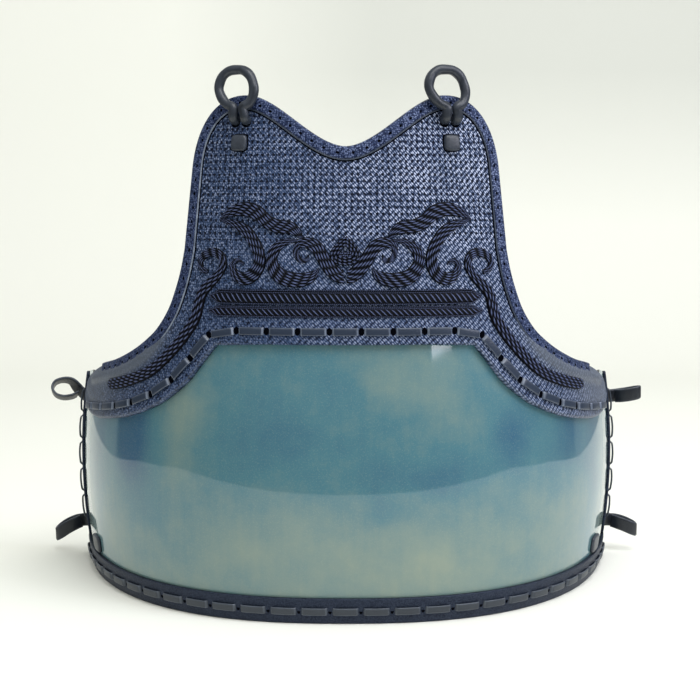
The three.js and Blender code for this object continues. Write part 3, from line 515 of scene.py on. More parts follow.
def add(tree, kind, inputs=(), output=0, **settings):
    """A shader node with its settings; inputs, by order or key, are constants or sockets. Returns one output."""
    node = tree.nodes.new("ShaderNode" + kind)
    for key, value in settings.items():
        setattr(node, key, value)
    for key, value in inputs.items() if isinstance(inputs, dict) else enumerate(inputs):
        if isinstance(value, bpy.types.NodeSocket):
            tree.links.new(value, node.inputs[key])
        else:
            node.inputs[key].default_value = value
    return node.outputs[output] if node.outputs else None


def new_tree(name):
    """A material and its empty node tree."""
    material = bpy.data.materials.new(name)
    material.use_nodes = True
    material.node_tree.nodes.clear()
    return material, material.node_tree


def flat_place(tree, turn=0.0, stretch=(1, 1)):
    """The flat coordinates in millimetres, turned by an angle and then stretched."""
    flat = add(tree, "UVMap", uv_map="Flat")
    turned = add(tree, "Mapping", {"Vector": flat, "Rotation": (0, 0, np.radians(turn))})
    return add(tree, "Mapping", {"Vector": turned, "Scale": (stretch[0] / MM, stretch[1] / MM, 1)})


def object_place(tree):
    """Object coordinates in millimetres."""
    place = add(tree, "TexCoord", output="Object")
    return add(tree, "Mapping", {"Vector": place, "Scale": (1 / MM, 1 / MM, 1 / MM)})


# %% [markdown]
# The shell is moulded plate under coats of brushed, speckled lacquer and a polished clear coat. A clear
# coat of IOR 1.5 over a duller ground gives the sharp line of the mirrored sheet. Real flecks are finer
# than a pixel, so they are drawn 1.4 mm wide.


# %% Lacquer
def lacquer_material():
    """cloud = tone + 0.55 drift + 0.12 streak; over its middle the teal turns gold, and under it blue."""
    material, tree = new_tree("Mottled lacquer")
    place = flat_place(tree)
    brushed = flat_place(tree, stretch=(1, 0.12))
    tone = add(tree, "Attribute", output="Fac", attribute_name="tone")
    drift = add(tree, "TexNoise", {"Vector": place, "Scale": 1 / 30, "Detail": 4, "Roughness": 0.6})
    streak = add(tree, "TexNoise", {"Vector": brushed, "Scale": 1 / 5})
    cloud = add(tree, "Math", (drift, 0.55, tone), operation="MULTIPLY_ADD")
    cloud = add(tree, "Math", (streak, 0.12, cloud), operation="MULTIPLY_ADD")
    middle = 0.5 + (0.55 + 0.12) / 2
    gold = add(tree, "MapRange", (cloud, middle, middle + 0.5))
    blue = add(tree, "MapRange", (cloud, middle, middle - 0.5))
    fleck = add(tree, "TexVoronoi", {"Vector": place, "Scale": 1 / 1.4})
    fleck = add(tree, "MapRange", (fleck, 0.1, 0.35, 0.14, 0))
    grain = add(tree, "TexNoise", {"Vector": place, "Scale": 1 / 1.2, "Roughness": 0.7})
    grain = add(tree, "MapRange", (grain, 0.5, 0.75, 0, 0.25))
    colour = linear("#416e7b")
    for share, coat in ((gold, "#7b8a7e"), (blue, "#245170"), (fleck, "#9ba692"), (grain, "#7a8d80")):
        colour = add(tree, "Mix", {0: share, 6: colour, 7: linear(coat)}, 2, data_type="RGBA")
    clear_coat = {"Coat Weight": 1, "Coat Roughness": 0.05, "Coat IOR": 1.5}
    finish = {"Base Color": colour, "Roughness": 0.45, "Specular IOR Level": 0.3, **clear_coat}
    add(tree, "OutputMaterial", (add(tree, "BsdfPrincipled", finish),))
    return material


# %% [markdown]
# The chest piece and its edge are dyed cowhide, embossed with rows of slanted dashes and pricked with rows
# of dots. The tops of the grain carry a painted highlight, strongest towards the right shoulder and weaker lower
# down. Cells give the dashes, a Bump node their relief, and the tone of the mesh marks the smooth worn places.
# The real grain is a little finer.


# %% Leather
def leather_material(name, colours, grain, depth, rough, slant=0.0, dots=0.0):
    """Pebbled leather: pits, body and painted-highlight tops in three colours, and a smooth worn face where tone
    is 1.

    slant is the share of slanted dashes in the grain, and dots the pitch of the pricked dots on the bib.
    """
    material, tree = new_tree(name)
    pits, body, tops = (linear(colour) for colour in colours)
    place = flat_place(tree)
    slanted = flat_place(tree, -42, (1, 0.5))
    tone = add(tree, "Attribute", output="Fac", attribute_name="tone")
    across, up = (add(tree, "SeparateXYZ", (place,), axis) for axis in "XY")
    pebble = add(tree, "TexVoronoi", {"Vector": place, "Scale": 1 / grain, "Randomness": 0.6})
    pebble = add(tree, "MapRange", (pebble, 0.12, 0.8, 1, 0))
    dash = add(tree, "TexVoronoi", {"Vector": slanted, "Scale": 1 / (grain * 0.92), "Randomness": 0.35})
    dash = add(tree, "MapRange", (dash, 0.12, 0.75, 1, 0))
    dashed = add(tree, "MapRange", (across, -90, 0, 0.3 * slant, slant))
    height = add(tree, "Mix", {0: dashed, 6: pebble, 7: dash}, 2, data_type="RGBA")
    if dots:
        dot = add(tree, "TexVoronoi", {"Vector": place, "Scale": 1 / dots, "Randomness": 0})
        dot = add(tree, "MapRange", (dot, 0.14, 0.25, 1, 0))
        dot = add(tree, "Math", (dot, add(tree, "MapRange", (up, 268, 276))), operation="MULTIPLY")
        height = add(tree, "Math", (height, dot), operation="SUBTRACT")

    patches = add(tree, "TexNoise", {"Vector": place, "Scale": 1 / 22, "Detail": 3})
    # Painted highlight on the tops of the grain: stronger towards the right, weaker below 300 mm.
    painted_highlight = add(tree, "MapRange", (height, 0.5, 0.85))
    for part in ((patches, 0.35, 0.65, 0.65, 1), (across, -80, 90, 0.45, 1), (up, 215, 300, 0.5, 1)):
        painted_highlight = add(tree, "Math", (painted_highlight, add(tree, "MapRange", part)), operation="MULTIPLY")
    colour = pits
    worn = add(tree, "Math", (tone, 0.75), operation="MULTIPLY")
    filled = add(tree, "MapRange", (height, 0.15, 0.5))
    for share, layer in ((filled, body), (painted_highlight, tops), (worn, linear("#565c64"))):
        colour = add(tree, "Mix", {0: share, 6: colour, 7: layer}, 2, data_type="RGBA")

    smooth = add(tree, "Math", (1.0, tone), operation="SUBTRACT")
    fine = add(tree, "TexNoise", {"Vector": place, "Scale": 1 / 0.9})
    relief = add(tree, "Math", (height, smooth), operation="MULTIPLY")
    relief = add(tree, "Math", (fine, 0.2, relief), operation="MULTIPLY_ADD")
    finish = {"Roughness": rough, "Specular IOR Level": 0.38, "Specular Tint": linear("#b4c0ee")}
    normal = add(tree, "Bump", {"Height": relief, "Distance": depth * MM})
    surface = add(tree, "BsdfPrincipled", {"Base Color": colour, "Normal": normal, **finish})
    add(tree, "OutputMaterial", (surface,))
    return material


# %% [markdown]
# The cords are twisted cotton, matt and nearly black, with a painted highlight along the top of each ply. The
# laces, loops and straps are smooth hide whose edges are worn lighter, and the laces carry painted highlights on
# their edges and bends as well. Both need only the mesh's tone and a fine noise.


# %% Cord, smooth leather and dark places
def wear_and_highlight_material(name, dark, light, rough, specular, shares, patch_noise, bumps):
    """colour = dark to light by shares of tone x shares of a noise; patch_noise and bumps set the two noises."""
    material, tree = new_tree(name)
    place = object_place(tree)
    tone = add(tree, "Attribute", output="Fac", attribute_name="tone")
    patches = add(tree, "TexNoise", {"Vector": place, "Scale": 1 / patch_noise["size"], "Detail": patch_noise["detail"]})
    patches = add(tree, "MapRange", (patches, 0.3, 0.7, patch_noise["least"], 1))
    # The tone is a painted highlight on the cords, worn edges on the straps, and both on the laces.
    share = add(tree, "Math", (add(tree, "MapRange", (tone, *shares)), patches), operation="MULTIPLY")
    colour = add(tree, "Mix", {0: share, 6: linear(dark), 7: linear(light)}, 2, data_type="RGBA")
    fine = add(tree, "TexNoise", {"Vector": place, "Scale": 1 / bumps["size"], "Detail": bumps["detail"]})
    normal = add(tree, "Bump", {"Height": fine, "Distance": bumps["depth"] * MM})
    finish = {"Roughness": rough, "Specular IOR Level": specular, "Normal": normal}
    add(tree, "OutputMaterial", (add(tree, "BsdfPrincipled", {"Base Color": colour, **finish}),))
    return material


def smooth_leather_material(name, dark, light, rough=0.4):
    """Smooth leather whose worn edges, where tone is 1, are lighter."""
    patch_noise = {"size": 5, "detail": 3, "least": 0.4}
    bumps = {"size": 1.4, "detail": 3, "depth": 0.12}
    return wear_and_highlight_material(name, dark, light, rough, 0.5, (0, 1), patch_noise, bumps)


def plain_material(name, colour):
    """One even matt colour."""
    material, tree = new_tree(name)
    finish = {"Base Color": linear(colour), "Roughness": 0.9, "Specular IOR Level": 0}
    add(tree, "OutputMaterial", (add(tree, "BsdfPrincipled", finish),))
    return material


# Deep gloss over a mottled teal ground.
LACQUER = lacquer_material()
# Dark pebbles with a painted highlight on their tops, then the same finer, then almost even.
PLATE_COLOURS = ("#060b18", "#334565", "#ccd5f0")
PLATE_LEATHER = leather_material("Embossed indigo leather", PLATE_COLOURS, 1.7, 0.7, 0.45, 1, 4.6)
EDGE_COLOURS = ("#101830", "#2c3959", "#828eb0")
EDGE_LEATHER_SKIN = leather_material("Rolled edge leather", EDGE_COLOURS, 1.3, 0.25, 0.42)
BINDING_SKIN = leather_material("Binding leather", ("#12171f", "#262d39", "#454d5a"), 0.8, 0.15, 0.5)
# Nearly black, with a painted highlight line along each cord.
FIBRES = {"size": 0.6, "detail": 2, "least": 0.6, "depth": 0.15}
CORD = wear_and_highlight_material("Twisted indigo cotton", "#02040c", "#5e6a92", 0.6, 0.12, (0.35, 1), FIBRES, FIBRES)
# Smooth hide: pale edges, worn and with a painted highlight, on the upper lace, fewer on the lower one; worn
# edges on straps.
LACE = smooth_leather_material("Slate lace leather", "#232e40", "#8d98ab", 0.36)
LOW_LACE = smooth_leather_material("Charcoal lace leather", "#282f39", "#737c89")
LOOP_SKIN = smooth_leather_material("Charcoal strap leather", "#171c24", "#565e6c", 0.38)
# Painted shade: one near-black for the holes, the edge groove and the rims round the loop feet, where no light
# comes back out. Very little comes from inside the shell.
PAINTED_SHADE = plain_material("Dark of the lace holes", "#05060a")
INSIDE = smooth_leather_material("Matt black inside lacquer", "#14161a", "#24272c", 0.5)
print("materials:", len(bpy.data.materials))

# %% [markdown]
# ## Shell
# The real shell is a moulded plate of even thickness. One closed section goes up its outer face, over the
# rounded rim and down the inner face, and is carried round the trunk, so that both faces and the rim are
# one skin. The clouds of the lacquer are soft patches, gold or, under 0, blue, over a ground that turns
# gold near the bottom.

# %% Shell
SHELL_COLUMNS = 281
SHELL_ROWS = 60
shell_bottom = BINDING_LEATHER + SEAT_GAP


def shell_top(girth):
    """Top of the shell, a fixed overlap above the lower edge of the chest piece."""
    return np.interp(np.abs(girth), lower_edge[:, 0], lower_edge[:, 1]) + SHELL_OVERLAP


CLOUDS = named_rows(
    "girth height wide tall gold",
    (-120, 150, 19, 48, 0.6),
    (42, 182, 30, 28, 0.5),
    (78, 158, 26, 26, 0.25),
    (59, 36, 42, 22, 0.4),
    (-20, 50, 60, 26, 0.2),
    (-176, 128, 20, 34, -1.6),
    (122, 130, 18, 19, -0.7),
    (186, 130, 18, 28, -0.7),
    (51, 103, 38, 12, -0.4),
    (-52, 130, 28, 22, -0.3),
    (-150, 66, 42, 30, -0.35),
    (27, 80, 20, 9, -0.35),
    (-236, 90, 24, 90, -0.5),
    (236, 90, 24, 90, -0.5),
)


def cloud_tone(girth, height):
    """0.5 + 0.5 (ground + sum of gold exp(-(x / wide)^2 - (z / tall)^2)), kept between 0 and 1."""
    total = 0.5 * (1 - smoothstep(height, 50, 116))
    for row in CLOUDS:
        reach = ((girth - row["girth"]) / row["wide"]) ** 2 + ((height - row["height"]) / row["tall"]) ** 2
        total = total + row["gold"] * np.exp(-reach)
    return np.clip(0.5 + 0.5 * total, 0, 1)


def shell_grid(lifts, shares):
    """The shell's section at each column: shares of the height and lifts."""
    girth = np.linspace(-BACK_GIRTH, BACK_GIRTH, SHELL_COLUMNS)[:, None]
    height = shell_bottom + (shell_top(girth) - shell_bottom) * shares[None]
    flat = np.stack([girth + 0 * height, height], -1)
    return grid(on_trunk(girth, height, lifts[None]), True, True, flat, cloud_tone(girth, height))


rows = np.linspace(0, 1, SHELL_ROWS)
turn = np.linspace(0, np.pi, 9)[1:-1]
rim = 1 + 0.008 * np.sin(turn)
lifts = np.concatenate([0 * rows, -SHELL_THICK / 2 * (1 - np.cos(turn)), 0 * rows - SHELL_THICK])
shares = np.concatenate([rows, rim, rows[::-1]])
shell = make_piece("Lacquered_body", [shell_grid(lifts, shares)], LACQUER, ["torso_shell"])
shell.data.materials.append(INSIDE)
uses = np.zeros(len(shell.data.polygons), np.int32)
inner_rows = np.arange(len(lifts)) >= SHELL_ROWS + len(turn) // 2
uses[:(SHELL_COLUMNS - 1) * len(lifts)] = np.tile(inner_rows, SHELL_COLUMNS - 1)
shell.data.polygons.foreach_set("material_index", uses)

# %% [markdown]
# ## Chest piece
# The chest piece is leather over a stiff padded board. It is a grid between its lower and top edges,
# because every later piece follows those two curves, and it has an inner face and rounded edges. On each
# wing a smooth padded lens stands up between the border and the cord band.


# %% Chest piece
def round_edge(distance, radius):
    """Drop of a quarter-round edge: radius - sqrt(radius^2 - (radius - d)^2) within its radius."""
    into = np.clip(radius - distance, 0, radius)
    return radius - np.sqrt(np.maximum(radius**2 - into**2, 0))


def plate_grid():
    """Outer face from the lower to the top edge, then the inner face back, as one closed section."""
    low, top = both_halves(plate_low), both_halves(plate_top)
    length = np.linalg.norm(top - low, axis=1)[:, None]
    near = np.array([0, 0.15, 0.4, 0.8, 1.3, 2.0])
    middle = np.linspace(0, 1, 74)[None, 1:-1]
    away = np.hstack([
        np.broadcast_to(near, (len(low), len(near))),
        2 + (length - 4) * middle,
        length - near[::-1],
    ])
    share = away / length
    flat = low[:, None] + (top - low)[:, None] * share[..., None]
    edge = np.minimum(away, length - away)
    lift = PLATE_FACE - round_edge(edge, 2.0)
    run = np.abs(flat[..., 0])
    wing = smoothstep(run, 124, 160) * (1 - smoothstep(run, WING_END - 34, WING_END - 14))
    lens = wing * np.exp(-(((share - 0.8) / 0.115) ** 2))
    trough = smoothstep(run, 96, 118) * np.exp(-(((away - LACE_INSET) / 3.4) ** 2))
    lift = lift + 2.2 * lens - 0.5 * trough
    back = flat[:, ::-1]
    outer = on_trunk(flat[..., 0], flat[..., 1], lift)
    inner = on_trunk(back[..., 0], back[..., 1], SEAT_GAP)
    rim = np.exp(-(((away - 1.2) / 0.7) ** 2)) * smoothstep(run, 60, 96)
    worn = 0.75 * smoothstep(run, 165, 235)
    tone = np.hstack([np.clip(lens * 1.5 + 0.6 * rim + worn, 0, 1), 0 * lens])
    return grid(np.hstack([outer, inner]), True, True, np.hstack([flat, back]), tone)


make_piece("Chest_plate", [plate_grid()], PLATE_LEATHER, ["chest_plate"])

# %% [markdown]
# ## Rolled edge
# A strip of leather is folded over the top edge of the plate and sewn down. Its profile is carried along
# the edge, because a Bevel can't fold over. Its stitches are pits at an even pitch along its middle,
# pressed into the same mesh, and a thin piping runs along its inner side.

# %% Rolled edge
STITCH_PITCH = 10.0
STITCH_LENGTH = 3.2


def fold_profile(inner, outer):
    """Profile of the strip folded over the plate's edge, as (distance in from the edge, lift).

    The fold is half an ellipse; the face, the hem on the back and the underside are straight.
    """
    width = EDGE_WIDTH
    top = outer + GAP + EDGE_LEATHER
    bottom = inner - GAP - EDGE_LEATHER
    turn = np.linspace(0, np.pi, 9)
    radius = (top - bottom) / 2
    start = -GAP - EDGE_LEATHER + 1.2
    fold = np.stack([start - 1.2 * np.sin(turn), (top + bottom) / 2 + radius * np.cos(turn)], -1)
    hem_edge = [[width, outer + 0.05], [width, top - 0.35], [width - 0.4, top]]
    face = np.array(hem_edge + [[width * share, top] for share in (0.75, 0.5, 0.25)])
    hem = np.array([[width * 0.5, bottom], [width, bottom], [width, inner - 0.05]])
    under = np.array([[0.0, inner - 0.1], [-0.2, (inner + outer) / 2], [0.0, outer + 0.1]])
    return np.vstack([face, fold, hem, under])


neck_part = neckline(np.linspace(0, 1, 60, endpoint=False))
shoulder_part = shoulder(np.linspace(0, 1, 80, endpoint=False))
top_edge = np.vstack([neck_part, shoulder_part, plate_top[WING_START:]])
top_edge = even_path(both_halves(top_edge[top_edge[:, 0] < EDGE_END_GIRTH]), 0.7)
edge_run = run_length(top_edge)
profile = fold_profile(SEAT_GAP, PLATE_FACE)
section = np.repeat((profile * [-1, 1])[None], len(top_edge), 0)
pit = np.exp(-(((edge_run % STITCH_PITCH) - STITCH_PITCH / 2) / (STITCH_LENGTH / 2)) ** 2)
depth = np.exp(-(((profile[:, 0] - 0.5 * EDGE_WIDTH) / 1.6) ** 2)) * (profile[:, 1] > PLATE_FACE)
section[:, :, 1] -= 0.9 * pit[:, None] * depth[None]
stitch_at = np.arange(STITCH_PITCH / 2, edge_run[-1], STITCH_PITCH)
edge_middle = sideways(top_edge, -0.5 * EDGE_WIDTH)
stitches = np.stack([np.interp(stitch_at, edge_run, column) for column in edge_middle.T], -1)
make_piece("Rolled_edge", [sweep(top_edge, section)], EDGE_LEATHER_SKIN, ["chest_edge_binding"])

turn = np.linspace(0, 2 * np.pi, 8, endpoint=False)
circle = np.stack([np.cos(turn), np.sin(turn)], -1)
piping = np.hstack([sideways(top_edge, -EDGE_WIDTH - 0.6), edge_run[:, None]])
lit = 0.1 + 0.8 * smoothstep(-top_edge[:, :1], 84, 112)
make_piece("Edge_piping", [sweep(piping, circle * 0.65, PLATE_FACE + 0.5, tone=lit)], LACE)
# Painted shade: a thin near-black strip in the groove beside the piping, and a near-black oval in each stitch
# pit.
groove = np.hstack([sideways(top_edge, -EDGE_WIDTH - 1.5), edge_run[:, None]])
make_piece("Edge_groove_shade", [sweep(groove, circle * [0.65, 0.12], PLATE_FACE + 0.05)], PAINTED_SHADE)
edge_face = PLATE_FACE + GAP + EDGE_LEATHER
stitch_holes = hole_grids(stitches, edge_face - 0.6, STITCH_LENGTH / 2, 0.9)
make_piece("Edge_stitch_holes", stitch_holes, PAINTED_SHADE)

# %% [markdown]
# ## Raised cords
# On the real piece, thin twisted cords are laid side by side over a core and sewn down. Each stroke here is
# a flat base with parallel cords carried along a smooth path. The paths come from the same tables as the
# CAD solids, and each twist is in the mesh, because its shadows show.

# %% Raised cords
SEAT = PLATE_FACE - 0.2
CORD_STEP = 0.8
CREST = named_rows(
    "out up wide",
    (0.871, 0.84, 0.12),
    (0.793, 0.94, 0.75),
    (0.691, 0.986, 1.05),
    (0.596, 0.934, 1.1),
    (0.527, 0.82, 1),
    (0.46, 0.752, 1),
    (0.358, 0.722, 0.9),
    (0.308, 0.648, 0.6),
    (0.279, 0.566, 0.12),
)
STEM = named_rows(
    "out up wide",
    (0.871, 0.84, 0.12),
    (0.747, 0.766, 0.7),
    (0.659, 0.66, 0.9),
    (0.61, 0.526, 0.95),
    (0.57, 0.36, 0.95),
    (0.566, 0.208, 1),
    (0.599, 0.072, 1),
    (0.664, 0.008, 0.95),
    (0.733, 0.082, 0.7),
    (0.753, 0.204, 0.5),
    (0.716, 0.264, 0.35),
    (0.67, 0.206, 0.12),
)
CRESCENT = named_rows(
    "out up wide",
    (0.293, 0.552, 0.12),
    (0.386, 0.528, 0.5),
    (0.454, 0.436, 0.8),
    (0.481, 0.3, 0.9),
    (0.465, 0.166, 1),
    (0.413, 0.046, 1.1),
    (0.344, 0.002, 1.1),
    (0.268, 0.004, 1),
    (0.206, 0.064, 0.7),
    (0.169, 0.162, 0.12),
)
WAVE = named_rows(
    "out up wide",
    (0.01, 0.05, 1),
    (0.03, 0.05, 1),
    (0.06, 0.085, 1.05),
    (0.104, 0.184, 1.05),
    (0.146, 0.32, 1),
    (0.188, 0.454, 1),
    (0.244, 0.514, 0.85),
    (0.3, 0.498, 0.65),
    (0.321, 0.4, 0.5),
    (0.298, 0.29, 0.4),
    (0.252, 0.27, 0.3),
    (0.235, 0.35, 0.12),
)
RING = named_rows(
    "out up wide",
    (0.933, 0.092, 0.35),
    (0.988, 0.144, 0.5),
    (0.999, 0.256, 0.6),
    (0.955, 0.352, 0.7),
    (0.891, 0.372, 0.7),
    (0.836, 0.308, 0.7),
    (0.821, 0.192, 0.7),
    (0.853, 0.056, 0.75),
    (0.911, -0.068, 0.9),
    (0.966, -0.216, 0.95),
)
WING_RUN = named_rows(
    "along across wide",
    (0.05, 0.42, 1),
    (0.123, 0.44, 1),
    (0.234, 0.5, 1),
    (0.357, 0.52, 1),
    (0.48, 0.56, 1),
    (0.6, 0.6, 1),
    (0.67, 0.62, 0.8),
)


def scroll_points(rows, width):
    """Rows of a scroll table as (girth, height, half width) in mm."""
    scale = (SCROLL_GIRTH, SCROLL_RISE, width / 2)
    shares = np.array([[row["out"], row["up"], row["wide"]] for row in rows])
    return (shares * scale + [0, SCROLL_BASE, 0]).tolist()


def wing_points():
    """Rows of the wing table, between the lower and the top edge of the wing."""
    points = []
    for row in WING_RUN:
        low, top = at_share(lower, row["along"]), at_share(armhole, row["along"])
        points.append([*(low + (top - low) * row["across"]), row["wide"] * WING_BAND_WIDTH / 2])
    return points


def bundle(points, rows, side, round_end=CORD_STEP):
    """Cord rows along points on one side of the chest; the end closes in over round_end, as a circle."""
    path = smooth_path(np.array(points) * [side, 1, 1], step=CORD_STEP)
    run = run_length(path[:, :2])
    into = np.clip(1 - (run[-1] - run) / round_end, 0, 0.98)
    return cord_rows(path, path[:, 2] * np.sqrt(1 - into**2), rows, SEAT)


for word, side in (("left", -1), ("right", 1)):
    strokes = []
    for table in (CREST, STEM, CRESCENT, WAVE):
        strokes += bundle(scroll_points(table, STROKE_WIDTH), 5, side)
    make_piece(f"Scroll_{word}", strokes, CORD, [f"scroll_{word}"])
    wing = bundle(scroll_points(RING, WING_BAND_WIDTH) + wing_points(), 4, side, 0.8 * WING_BAND_WIDTH)
    make_piece(f"Wing_band_{word}", wing, CORD, [f"wing_band_{word}"])


def chest_band(height, width):
    """Straight band: a wide flat braid, two thin cords above it and one below, drawn in at both ends."""
    girth = np.linspace(-BAND_GIRTH, BAND_GIRTH, 420)
    half = width / 2 * (0.2 + 0.8 * smoothstep(BAND_GIRTH - np.abs(girth), 0, BAND_TAPER))
    path = np.stack([girth, np.full_like(girth, height), half], -1)
    base = np.array([[-0.92, 0], [0.92, 0], [0.8, 0.6], [-0.8, 0.6]])
    section = base[None] * np.stack([half, np.ones(len(path))], -1)[:, None]
    middle = np.hstack([sideways(path, -0.12 * half), half[:, None]])
    braid = twisted_cord(middle, 0.62 * half, SEAT + 1.0, 16, plies=4, flat=0.36, sides=32)
    pieces = [sweep(path, section, SEAT), braid]
    for place, hand in ((0.88, 1), (0.6, -1), (-0.88, 1)):
        line = np.hstack([sideways(path, place * half), half[:, None]])
        pieces.append(twisted_cord(line, 0.6, SEAT + 1.0, 2.6, hand))
    return pieces


make_piece("Upper_band", chest_band(UPPER_BAND_HEIGHT, UPPER_BAND_WIDTH), CORD, ["upper_band"])
make_piece("Lower_band", chest_band(LOWER_BAND_HEIGHT, LOWER_BAND_WIDTH), CORD, ["lower_band"])


def bud_cords():
    """The bud: nested teardrops, sin(t) sin(t / 2) wide and cos(t) high, round two small curls."""
    pieces = []
    for share in (1, 0.76, 0.52):
        turn = np.linspace(0, 2 * np.pi, 90)
        girth = share * (BUD_WIDTH / 2 - 1) * 1.3 * np.sin(turn) * np.sin(turn / 2)
        height = BUD_HEIGHT - 0.8 * (1 - share) + share * (BUD_RISE / 2 - 1.2) * np.cos(turn)
        path = np.stack([girth, height, girth * 0], -1)
        pieces.append(twisted_cord(path, 1.0, SEAT + 1.2 + 0.4 * (1 - share), 7))
    for side in (-1, 1):
        turn = np.linspace(0, 3.2 * np.pi, 60)
        radius = 0.4 + 1.8 * turn / turn[-1]
        girth = side * (2.2 + radius * np.cos(turn))
        path = np.stack([girth, BUD_HEIGHT - 2.6 + radius * np.sin(turn), 0 * turn], -1)
        pieces.append(twisted_cord(path, 0.8, SEAT + 1.6, 4))
    return pieces


make_piece("Centre_bud", bud_cords(), CORD, ["centre_motif"])

# %% [markdown]
# ## Laces
# A flat lace goes in and out through punched holes. Only its stitches on the face show, so each is a
# rounded strip that lies flat between two holes and dips into both. Each hole is a dark oval of painted shade
# just above the face, because a cut through the plate would show nothing more.


# %% Laces
def even_stops(path):
    """Stops from half a pitch after the start of a path to its end; the pitch is eased to fit."""
    run = run_length(path)
    count = round(run[-1] / LACE_PITCH - 0.5)
    at = run[-1] * (np.arange(count + 1) + 0.5) / (count + 0.5)
    return np.stack([np.interp(at, run, path[:, 0]), np.interp(at, run, path[:, 1])], -1)


def lace_grids(holes, seat, dip, arch=0.5, edge_wear_and_highlight=0.3, end_highlight=0.9):
    """Stitches from hole to hole: a rounded strip that drops by dip over its last 3.3 mm at both ends."""
    width = LACE_WIDTH
    pieces = []
    turn = np.linspace(0, 2 * np.pi, 14, endpoint=False) + 0.1
    box = np.stack([
        np.sign(np.cos(turn)) * np.abs(np.cos(turn)) ** 0.35 * width / 2,
        np.sign(np.sin(turn)) * np.abs(np.sin(turn)) ** 0.6 * LACE_THICK / 2,
    ], -1)
    edge = smoothstep(np.abs(box[:, 0]), 0.36 * width, 0.5 * width) * (box[:, 1] > -0.2)
    for start, end in zip(holes[:-1], holes[1:]):
        share = np.linspace(0, 1, 26)
        path = start + (end - start) * share[:, None]
        length = np.linalg.norm(end - start)
        away = np.minimum(share, 1 - share) * length
        drop = 1 - smoothstep(away, 1.2, 3.3)
        lift = seat + LACE_THICK / 2 - dip * drop + arch * np.sin(np.pi * share)
        # Painted highlight where each stitch bends down into its hole, and on its top edges, which are also worn
        # lighter.
        ends = smoothstep(drop, 0.02, 0.3) * (1 - smoothstep(drop, 0.4, 0.8))
        worn = edge_wear_and_highlight * edge[None] * (away[:, None] > 2.6) + end_highlight * ends[:, None]
        tone = np.clip(worn, 0, 1) * (1 - smoothstep(drop, 0.5, 0.9))[:, None]
        pieces.append(sweep(path, box, lift, tone))
    return pieces


inset = sideways(even_path(lower_edge, 2.0), LACE_INSET)
half_holes = even_stops(inset[inset[:, 0] < WING_END - LACE_END])
chest_holes = np.vstack([mirror(half_holes)[::-1], half_holes])
make_piece("Chest_lace", lace_grids(chest_holes, PLATE_FACE + GAP, 2.6), LACE, ["chest_lace"])
make_piece("Chest_lace_holes", hole_grids(chest_holes, PLATE_FACE), PAINTED_SHADE)

half_holes = even_stops(np.array([[0, BOTTOM_LACE_HEIGHT], [BACK_GIRTH - LACE_END, BOTTOM_LACE_HEIGHT]]))
bottom_holes = np.vstack([mirror(half_holes)[::-1], half_holes])
bottom_face = SEAT_GAP + BINDING_LEATHER
bottom_stitches = lace_grids(bottom_holes, bottom_face + GAP, 2.2, 0.5, 0.5, 0.3)
make_piece("Bottom_lace", bottom_stitches, LOW_LACE, ["bottom_lace"])
make_piece("Bottom_lace_holes", hole_grids(bottom_holes, bottom_face, 1.2, 2.0), PAINTED_SHADE)

# %% [markdown]
# ## Folded strips
# Strips of leather are folded round the shell's bottom and back edges. Each is one U section with rounded
# corners, carried along its edge, a small gap away from the shell.


# %% Folded strips
def u_section(width, leather):
    """Closed U section round the shell's edge, as (distance in, lift); its corners are quarter circles."""
    inner = -SHELL_THICK
    top, bottom = SEAT_GAP + leather, inner - SEAT_GAP - leather
    turn = np.linspace(0, np.pi / 2, 5)
    corner = 1.2
    start = corner - SEAT_GAP - leather
    first = np.stack([start - corner * np.sin(turn), top - corner + corner * np.cos(turn)], -1)
    second = np.stack([start - corner * np.cos(turn), bottom + corner - corner * np.sin(turn)], -1)
    hem = [[width, 0.1], [width, top - 0.7], [width - 0.3, top - 0.2], [width - 0.9, top]]
    hem.append([width * 0.5, top + 0.15])
    back = [[width * 0.5, bottom], [width - 0.9, bottom], [width, bottom + 0.7], [width, inner - 0.1]]
    return np.vstack([hem, first, second, back, [[0, inner - 0.1], [0, 0.1]]])


def bottom_strip():
    """The bottom strip all the way round, its ends a little past the back edges."""
    end = BACK_GIRTH + SEAT_GAP + SIDE_LEATHER
    girth = np.linspace(-end, end, 300)[:, None]
    section = u_section(BINDING_HEIGHT - shell_bottom, BINDING_LEATHER)
    height = shell_bottom + section[None, :, 0]
    flat = np.stack(np.broadcast_arrays(girth, height), -1)
    return grid(on_trunk(girth, height, section[None, :, 1]), True, True, flat)


def side_strip(side):
    """The strip on one back edge of the shell, from the bottom strip to the top of the shell."""
    section = u_section(SIDE_WIDTH, SIDE_LEATHER)
    height = np.linspace(BINDING_HEIGHT + SEAT_GAP, shell_top(BACK_GIRTH), 80)[:, None]
    girth = side * (BACK_GIRTH - section[None, :, 0])
    flat = np.stack(np.broadcast_arrays(girth, height), -1)
    return grid(on_trunk(girth, height, section[None, :, 1]), True, True, flat)


make_piece("Bottom_strip", [bottom_strip()], BINDING_SKIN, ["bottom_binding"])
side_face = SEAT_GAP + SIDE_LEATHER
for word, side in (("left", -1), ("right", 1)):
    make_piece(f"Side_strip_{word}", [side_strip(side)], BINDING_SKIN, [f"side_binding_{word}"])
    low, high = BINDING_HEIGHT + SEAT_GAP, shell_top(BACK_GIRTH)
    middle = side * (BACK_GIRTH - SIDE_WIDTH / 2)
    holes = even_stops(np.array([[middle, low], [middle, high - LACE_END]]))
    side_stitches = lace_grids(holes, side_face + GAP, 1.8, 1.0, 0.2, 0.2)
    make_piece(f"Side_lace_{word}", side_stitches, LOW_LACE, [f"side_lace_{word}"])

